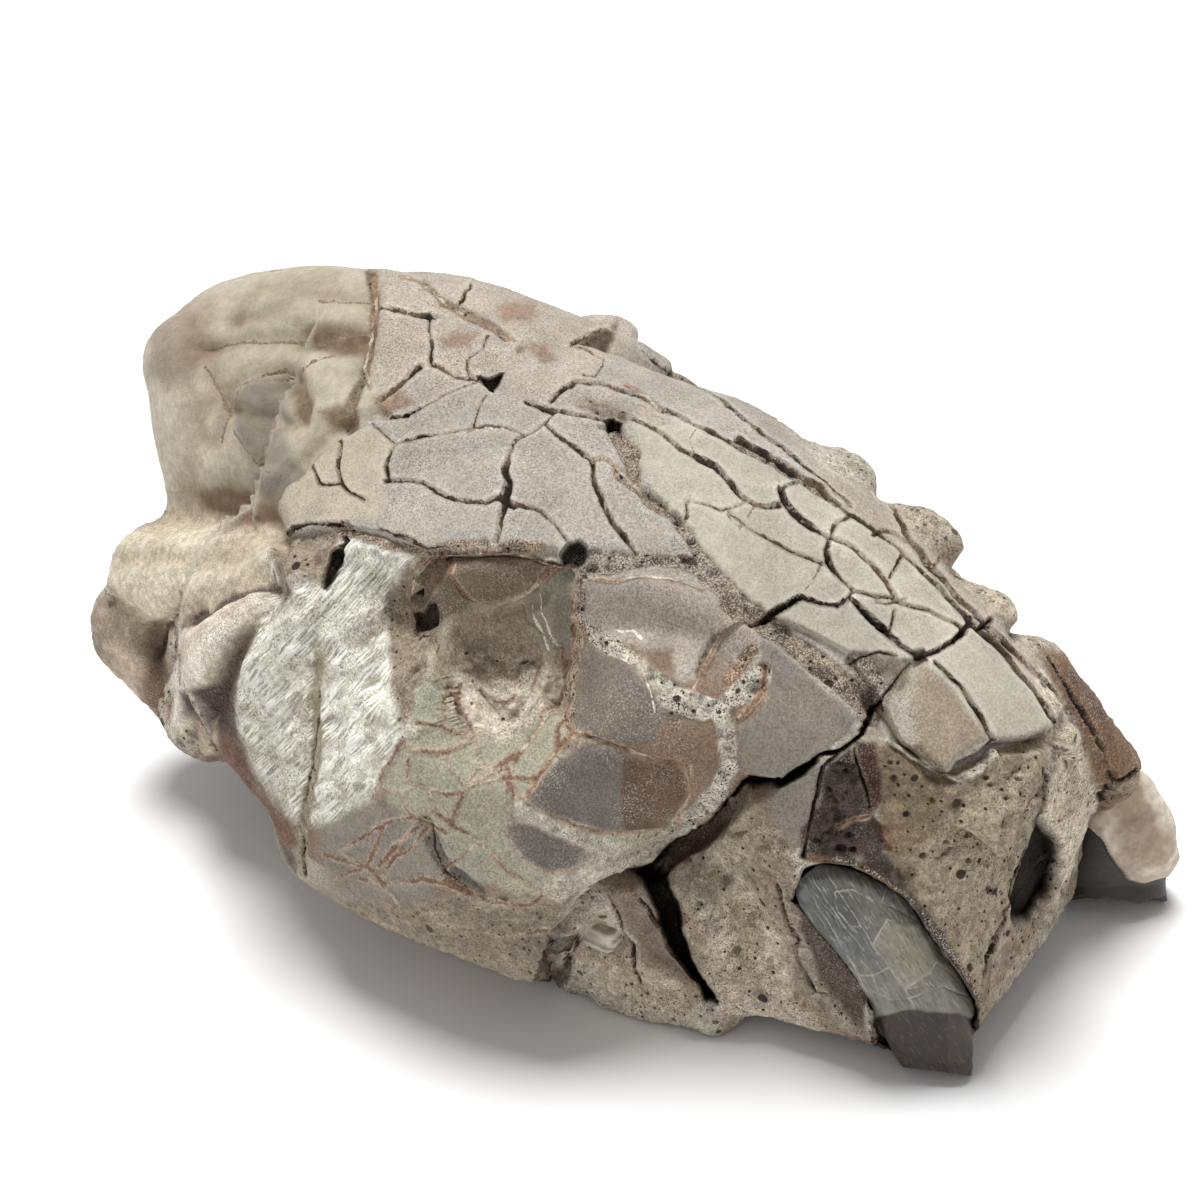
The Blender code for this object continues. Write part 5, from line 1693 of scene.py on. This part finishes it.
# %% The four meshes of the skull
all_points = P.reshape(-1, 3)
all_normals = N.reshape(-1, 3)
closeness = np.clip(seam, -0.2, 1.0)
tint_and_grit = np.concatenate([tint, grit[:, None]], -1)
triangles_made = 0
for number, name in enumerate(PIECES):
    first_ring, last_ring = ring_of[number], ring_of[number + 1]
    rows = last_ring - first_ring + 1
    chosen = slice(first_ring * COLUMNS, (last_ring + 1) * COLUMNS)
    points = all_points[chosen]
    faces = [net_triangles(rows, COLUMNS, closeness[chosen], points)]
    ends = []
    for ring, at, forward in ((0, first_ring, False), (rows - 1, last_ring, True)):
        pole = at in (0, RINGS - 1)
        faces.append(end_fan(ring, COLUMNS, len(points) + len(ends), forward))
        ends.append(P[at].mean(0) if pole else ray_start[at, 0])
    points = np.concatenate([points, ends])
    mesh = put_mesh(name, points, np.concatenate(faces))
    for label, values in (("tint", tint_and_grit), ("seam_tint", seam_tint), ("strokes", strokes),
                          ("seam", seam), ("grain", grain)):
        add_value(mesh, label, np.concatenate([values[chosen], values[chosen][[0, -1]]]))
    mesh.shade_smooth()
    mesh.normals_split_custom_set_from_vertices(
        np.concatenate([all_normals[chosen], END_NORMALS]).astype(np.float32))
    as_piece(name, mesh, bone_finish, "bone_and_matrix", "skull")
    triangles_made += len(mesh.polygons)
print("the skull has", triangles_made, "triangles")

# %% [markdown]
# ## Teeth
# A canine is a long cone, worn to a chisel by the lower teeth. Its enamel has dried
# and split along pale hairlines, one flake is olive, and the tip is bare dark dentine.
# Its left and right edges are given at heights down the tooth, as places in the
# picture, and a round but slightly squarish section is stretched between them. Each
# section keeps the distance from the eye of the tooth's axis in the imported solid.

# %% Canines
RIGHT_AXIS = ((151.0, -14.5, 46.0), (157.0, -19.5, 38.0), (162.5, -22.0, 28.0),
              (166.8, -22.0, 18.0), (169.2, -21.0, 9.0), (170.4, -20.5, 2.0))
RIGHT_EDGES = ((795, 883, 820, 863), (795, 892, 847, 867), (799, 904, 870, 876),
               (817, 928, 900, 894), (841, 957, 923, 923), (861, 986, 946, 957),
               (872, 1008, 964, 984), (877, 1022, 973, 1010), (885, 1040, 973, 1036),
               (893, 1055, 975, 1054), (902, 1067, 974, 1076))
LEFT_AXIS = ((165.5, 18.0, 34.0), (170.5, 22.5, 25.0), (174.5, 26.0, 15.0),
             (176.5, 27.5, 7.0), (177.0, 27.8, 2.4))
LEFT_EDGES = ((1094, 770, 1132, 764), (1088, 784, 1147, 776), (1080, 808, 1163, 802),
              (1070, 836, 1173, 832), (1062, 860, 1176, 856), (1056, 884, 1168, 882),
              (1056, 897, 1169, 901))


def squarish(turn, power):
    """Cosine and sine, each to a power below one, which draws a circle to a square."""
    c, s = np.cos(turn), np.sin(turn)
    return np.sign(c) * np.abs(c) ** power, np.sign(s) * np.abs(s) ** power


def tooth_net(axis, edges, rows, columns, bulge):
    """Rows down the tooth by columns round it: a squarish ring from the left edge to
    the right, whose height towards the eye is a share, bulge, of its half width."""
    _, spot_down, spot_depth = picture(np.array(axis))
    table = np.array(edges, float)
    s = np.linspace(0, len(table) - 1, rows)
    at = np.arange(len(table))
    left_across, left_down, right_across, right_down = (
        through(s, at, table[:, k]) for k in range(4))
    middle_down = (left_down + right_down) / 2
    depth_here = np.interp(middle_down, spot_down, spot_depth)
    left = EYE + sight(left_across, left_down) * depth_here[:, None]
    right = EYE + sight(right_across, right_down) * depth_here[:, None]
    middle, radius = (left + right) / 2, (right - left) / 2
    toward = unit(EYE - middle)
    toward = unit(toward - (toward * unit(radius)).sum(-1, keepdims=True) * unit(radius))
    turn = 2 * np.pi * np.arange(columns) / columns
    c, d = squarish(turn, 0.85)
    size = np.linalg.norm(radius, axis=-1)[:, None, None]
    points = middle[:, None] + radius[:, None] * c[:, None]
    return points + toward[:, None] * d[:, None] * size * bulge, s


def from_axis(net):
    """Way from the middle of each row out to its points."""
    return unit(net - net.mean(1, keepdims=True)).reshape(-1, 3)


def close_tooth(name, points, values, finish, slot, node):
    """Net of the tooth with a point at each end, turned outwards, as a piece."""
    rows, columns = points.shape[:2]
    flat_points = points.reshape(-1, 3)
    ends = [points[0].mean(0), points[-1].mean(0)]
    faces = [net_triangles(rows, columns, np.zeros(rows * columns), flat_points),
             end_fan(0, columns, rows * columns, False),
             end_fan(rows - 1, columns, rows * columns + 1, True)]
    triangles = np.concatenate(faces)
    whole = np.concatenate([flat_points, ends])
    corner = whole[triangles]
    volume = (np.cross(corner[:, 0], corner[:, 1]) * corner[:, 2]).sum()
    if volume < 0:
        triangles = triangles[:, ::-1]
    mesh = put_mesh(name, whole, triangles)
    for label, value in values.items():
        add_value(mesh, label, np.concatenate([value, value[[0, -1]]]))
    mesh.shade_smooth()
    as_piece(name, mesh, finish, slot, node)


print("the edges of the canines are given at", len(RIGHT_EDGES), "and", len(LEFT_EDGES), "heights")

# %% [markdown]
# Enamel is the only part with a soft gleam. The shader is the same idea as for bone:
# the colour is on the points, hairlines are chains of places with half a width, and
# long fibres run down the tooth.

# %% Enamel
BLUE_ENAMEL = shade(95, 97, 94)
OLIVE_ENAMEL = shade(140, 134, 118)
BROWN_ENAMEL = shade(112, 105, 96)
BRIGHT_ENAMEL = shade(113, 119, 120)
TIP_DENTINE = shade(38, 21, 8)
TIP_EDGE = shade(68, 53, 42)
COVER_TAN = shade(216, 203, 184)
COVER_BROWN = shade(168, 146, 126)
CROWN_DARK = shade(60, 54, 50)
PALE_HAIRLINE = shade(186, 183, 172)
HAIR_STEP = 0.155
OLIVE_PATCH = (886, 920, 905, 925, 919, 922, 925, 937, 937, 961, 930, 974, 905, 989, 890, 967,
               873, 945)
HAIRLINES = (
    (0.8, OLIVE_PATCH + OLIVE_PATCH[:2]),
    (0.6, (835, 892, 852, 889, 868, 897, 876, 912, 868, 927, 850, 926, 837, 912, 835, 892)),
    (0.5, (803, 884, 822, 914, 846, 950, 868, 992)),
    (0.5, (812, 878, 836, 916, 858, 944, 878, 990)),
    (0.6, (826, 872, 848, 905, 873, 945)),
    (0.7, (868, 990, 892, 1001, 916, 996, 945, 986, 968, 996)),
    (0.6, (905, 989, 913, 1004, 916, 1014)),
    (0.6, (937, 961, 955, 975, 967, 992)),
    (0.5, (868, 897, 893, 906, 921, 922)),
    (0.5, (925, 937, 936, 947, 949, 962)),
    (0.5, (880, 906, 887, 886)),
    (0.6, (890, 967, 872, 977, 858, 974)),
    (0.5, (858, 944, 850, 958, 846, 972)),
    (0.5, (905, 989, 930, 985, 945, 986)),
)


def hairlines_on(net):
    """Gap in the picture to the nearest hairline, less half its width."""
    made = np.full(len(net[0]), FAR)
    for half_width, places in HAIRLINES:
        near, gap, _, _ = from_chain(places, net)
        made[near] = np.minimum(made[near], (gap - half_width) * HAIR_STEP)
    return made


def tooth_finish(name, roughness, streaks):
    """Colour of the point, streaked and speckled, with pale or dark hairlines."""
    s = Shader(name, roughness)
    s.surface.inputs["Specular IOR Level"].default_value = 0.45
    large = s.ramp(s.clouds(160, 5.0, 0.65), 0.3, 0.7, 0.80, 1.18)
    middle = s.ramp(s.clouds(900, 4.0, 0.65), 0.3, 0.7, 0.86, 1.12)
    mottling = s.grey(s.times(large, middle))
    colour = s.blend(1.0, s.value_of("tint", "Color"), mottling, "MULTIPLY")
    dust = s.ramp(s.clouds(1500, 4.0, 0.7), 0.62, 0.74, 0.0, 0.16)
    colour = s.blend(dust, colour, rgba(PALE_HAIRLINE))
    fibres = s.clouds(1.0, 3.0, 0.6, s.value_of("strokes", "Vector"))
    fibrous = s.value_of("strokes", "Alpha")
    shine = s.times(s.ramp(fibres, 0.56, 0.66), fibrous, 0.45)
    colour = s.blend(shine, colour, rgba(PALE_HAIRLINE))
    deep_lines = s.times(s.ramp(fibres, 0.45, 0.36), fibrous, 0.4)
    colour = s.blend(deep_lines, colour, rgba(TIP_DENTINE))
    ragged = s.times(s.math("SUBTRACT", s.clouds(1800, 2.0), 0.5), 0.30)
    gap = s.math("ADD", s.value_of("seam", "Fac"), ragged)
    hair = s.times(s.ramp(gap, -0.02, 0.07, streaks, 0.0),
                   s.ramp(s.clouds(330, 2.0), 0.40, 0.56, 0.15, 1.0))
    colour = s.blend(hair, colour, s.value_of("seam_tint", "Color"))
    s.link(s.surface.inputs["Base Color"], colour)
    s.bump(s.clouds(600, 4.0, 0.6), 0.12)
    return s.material


enamel_finish = tooth_finish("enamel", 0.42, 0.6)
dark_finish = tooth_finish("dark_tooth", 0.5, 0.6)
print(len(HAIRLINES), "hairlines in the enamel")

# %% Right canine
ROOT_ACROSS, ROOT_DOWN = 797, 884
OLIVE_FROM, OLIVE_TO = 940, 1000
FIBRES_END = 1012
TIP_ACROSS, TIP_DOWN, TIP_HALF = 925, 1010, 50
TIP_EDGE_FROM, TIP_EDGE_TO = 946, 952
NEAREST_POINTS = 2000
right_net, _ = tooth_net(RIGHT_AXIS, RIGHT_EDGES, rows=220, columns=200, bulge=0.62)
flat_net = right_net.reshape(-1, 3)
tooth_across, tooth_down, _ = picture(flat_net)
# The net may face in or out, so the side that is nearest to the eye settles the sign.
front_side = facing_of(right_net).reshape(-1, 3)
front_side = (front_side * unit(EYE - flat_net)).sum(-1)
nearest = np.argsort(flat_net @ AHEAD)[:NEAREST_POINTS]
front_side = front_side * np.sign(np.median(front_side[nearest]))
tooth_across = tooth_across + 1.2 * noise(flat_net, 1.6, 105)
tooth_down = tooth_down + 1.2 * noise(flat_net, 1.6, 106)
canine_picture = (tooth_across, tooth_down, front_side > -0.3)
mottle = fractal(flat_net, 5.0, 3, 103)
streak = noise(np.stack([(tooth_across * 0.80 - tooth_down * 0.60) / 5.0,
                         (tooth_across * 0.60 + tooth_down * 0.80) / 45.0, 0 * mottle], -1),
               1.0, 104)
fibre_places = np.stack([(tooth_across * 0.82 - tooth_down * 0.57) / 2.2,
                         (tooth_across * 0.57 + tooth_down * 0.82) / 17.0, 0 * mottle,
                         ease(FIBRES_END - tooth_down, 0, 8) * 0.8 + 0.2], -1)
tooth_tint = np.tile(BLUE_ENAMEL, (len(flat_net), 1))
tooth_tint = mix(tooth_tint, BRIGHT_ENAMEL, ease(mottle, 0.0, 0.8))
tooth_tint = tooth_tint * (1 + 0.16 * streak)[:, None]
browner = (tooth_across - ROOT_ACROSS) * 0.85 - (tooth_down - ROOT_DOWN) * 0.5
tooth_tint = mix(tooth_tint, BROWN_ENAMEL, ease(browner + 10 * mottle, 12, 52) * 0.75)
lower = ease(tooth_down, OLIVE_FROM, OLIVE_TO) * 0.45
tooth_tint = mix(tooth_tint, OLIVE_ENAMEL, lower)
near, patch = in_outline(OLIVE_PATCH, 1.5, canine_picture)
tooth_tint[near] = mix(tooth_tint[near], OLIVE_ENAMEL, patch * 0.85)
tip_line = TIP_DOWN + 7 * ((tooth_across - TIP_ACROSS) / TIP_HALF) ** 2
tip_line = tip_line + 2.0 * noise(flat_net, 2.0, 107)
tip = ease(tooth_down - tip_line, -1.5, 1.5)
tooth_tint = mix(tooth_tint, TIP_DENTINE * (1 + 0.15 * streak)[:, None], tip)
tooth_tint = mix(tooth_tint, TIP_EDGE, tip * ease(tooth_across, TIP_EDGE_FROM, TIP_EDGE_TO) * 0.6)
hair = hairlines_on(canine_picture) + FAR * tip
facets = 0.18 * fractal(flat_net, 6.0, 3, 113) + 0.10 * streak - 0.30 * tip
facets[near] += 0.22 * patch
facets -= 0.10 * (1 - ease(hair, 0, 0.25))
flat_net = flat_net + from_axis(right_net) * facets[:, None]
flat_net[:, 2] = np.maximum(flat_net[:, 2], 0.0)
close_tooth("right_canine_crown", flat_net.reshape(right_net.shape),
            {"tint": tooth_tint, "seam": hair, "strokes": fibre_places,
             "seam_tint": np.tile(PALE_HAIRLINE, (len(flat_net), 1))},
            enamel_finish, "enamel", "right_canine")

# %% Left canine: a dark crown under a cover of bone
COVER_ACROSS = (1085, 1100, 1112, 1131, 1147, 1166, 1180)
COVER_DOWN = (826, 838, 859, 880, 884, 878, 862)
left_net, down_left = tooth_net(LEFT_AXIS, LEFT_EDGES, rows=150, columns=150, bulge=0.75)
flat_net = left_net.reshape(-1, 3)
tooth_across, tooth_down, _ = picture(flat_net)
cover_edge = np.interp(tooth_across, COVER_ACROSS, COVER_DOWN)
cover_edge = cover_edge + 2.5 * noise(flat_net, 2.0, 121)
under = ease(tooth_down - cover_edge, -1.0, 1.0)
# Painted shade: a brown band just above the edge where the bone cover meets the dark crown.
painted_shade_at_cover_edge = np.exp(-((tooth_down - cover_edge + 4) / 4) ** 2)
tooth_tint = mix(np.tile(COVER_TAN, (len(flat_net), 1)), COVER_BROWN,
                 ease(fractal(flat_net, 6.0, 3, 123), 0.0, 0.7))
tooth_tint = mix(tooth_tint, COVER_BROWN, 0.5 * painted_shade_at_cover_edge)
tooth_tint = mix(tooth_tint, CROWN_DARK, under)
lumps = 0.45 * fractal(flat_net, 4.5, 4, 127) * (1 - 0.7 * under) - 0.9 * under
flat_net = flat_net + from_axis(left_net) * lumps[:, None]
ragged_tip = ease(down_left / down_left.max(), 0.80, 1.0).repeat(left_net.shape[1])
flat_net = flat_net + UP * (ragged_tip * 1.3 * fractal(flat_net, 3.4, 2, 129))[:, None]
flat_net[:, 2] = np.maximum(flat_net[:, 2], 0.0)
close_tooth("left_canine_crown", flat_net.reshape(left_net.shape),
            {"tint": tooth_tint, "seam": np.full(len(flat_net), FAR),
             "seam_tint": np.tile(CRACK_DARK, (len(flat_net), 1))},
            dark_finish, "dark_tooth", "left_canine")

# %% [markdown]
# The cheek tooth is a worn slab. Its section is a rounded rectangle carried along its
# length, and thin pale and dark layers of enamel cross it.

# %% Cheek tooth
MOLAR_MIDDLE = np.array([121.0, -37.6, 16.5])
MOLAR_HALF = np.array([5.2, 2.0, 2.5])
MOLAR_PALE = shade(206, 198, 182)
MOLAR_DARK = shade(150, 140, 125)
rows, columns = 90, 72
turn = 2 * np.pi * np.arange(columns) / columns
lengthwise = np.linspace(-1, 1, rows)
taper = (1 - np.abs(lengthwise) ** 6) ** 0.5 * 0.9 + 0.1
corner_c, corner_s = squarish(turn, 0.4)
molar = np.stack([np.repeat(lengthwise[:, None], columns, 1),
                  taper[:, None] * corner_c, taper[:, None] * corner_s], -1)
molar = (MOLAR_MIDDLE + molar * MOLAR_HALF).reshape(-1, 3)
layers = np.sin(molar[:, 2] * 4.2 + 0.5 * np.sin(molar[:, 0] * 0.9) + molar[:, 0] * 0.35)
molar_tint = mix(MOLAR_PALE + 0 * molar, MOLAR_DARK, ease(layers, 0.0, 0.6))
molar = molar + np.array([0, -1.0, 0]) * (0.10 * ease(-layers, 0, 0.6)
                                          + 0.12 * fractal(molar, 2.5, 2, 131))[:, None]
close_tooth("right_molar_slab", molar.reshape(rows, columns, 3),
            {"tint": molar_tint, "seam": np.full(len(molar), FAR),
             "seam_tint": np.tile(CRACK_DARK, (len(molar), 1))},
            enamel_finish, "enamel", "right_molar")

# %% [markdown]
# ## Floor, light and camera
# The fossil lies on a pale floor, like a specimen on a sheet of paper. The light is
# soft and comes from nearly straight above, leaning a little to the back of the skull
# and to its far side, so the shadow is a soft pool in front of the skull and below it.

# %% Floor
FLOOR_SIDE = 6.0
floor_mesh = bpy.data.meshes.new("floor")
corners = [(-FLOOR_SIDE, -FLOOR_SIDE, 0), (FLOOR_SIDE, -FLOOR_SIDE, 0),
           (FLOOR_SIDE, FLOOR_SIDE, 0), (-FLOOR_SIDE, FLOOR_SIDE, 0)]
floor_mesh.from_pydata(corners, [], [(0, 1, 2, 3)])
floor = in_scene("floor", floor_mesh)
floor_finish = Shader("pale_floor", 0.9)
floor_finish.surface.inputs["Base Color"].default_value = (0.93, 0.93, 0.93, 1)
floor_finish.surface.inputs["Specular IOR Level"].default_value = 0.0
floor_mesh.materials.append(floor_finish.material)
floor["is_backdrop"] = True
print("floor of", 2 * FLOOR_SIDE, "m")

# %% Light
SKY_STRENGTH = 0.44
LAMP_STRENGTH = 3.08
LAMP_ANGLE = 26.0
LAMP_FROM = np.array([-0.14, 0.08, 1.0])


def turned(columns_of):
    """Four columns, three directions and a place, as Blender's matrix."""
    rows = [*np.stack(columns_of, -1), (0, 0, 0, 1)]
    return Matrix([tuple(float(n) for n in row) for row in rows])


world = bpy.data.worlds.new("studio")
bpy.context.scene.world = world
world.use_nodes = True
world.node_tree.nodes["Background"].inputs["Color"].default_value = (1, 1, 1, 1)
world.node_tree.nodes["Background"].inputs["Strength"].default_value = SKY_STRENGTH
lamp = bpy.data.lights.new("overhead", "SUN")
lamp.energy = LAMP_STRENGTH
lamp.angle = np.radians(LAMP_ANGLE)
overhead = in_scene("overhead", lamp)
backward = unit(LAMP_FROM)
sideways = unit(np.cross((0.0, 1.0, 0.0), backward))
overhead.matrix_world = turned([sideways, np.cross(backward, sideways), backward, LAMP_FROM])
bpy.context.scene.view_settings.view_transform = "Standard"
print("lamp", LAMP_STRENGTH, "sky", SKY_STRENGTH)

# %% Camera
camera = bpy.data.cameras.new("camera")
camera.sensor_width = 36.0
camera.lens = FOCAL * camera.sensor_width / (2 * MIDDLE)
camera.clip_start = 0.01
camera_object = in_scene("camera", camera)
eye_place = (EYE - BOX_MIDDLE) * MM
camera_object.matrix_world = turned([RIGHT, UP, -AHEAD, eye_place])
bpy.context.scene.camera = camera_object
print("lens", round(camera.lens, 2), "mm")

# %% [markdown]
# The last cell finds the bounds of the dressed model.

# %% Sizes and finish
bpy.context.view_layer.update()
low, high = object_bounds()
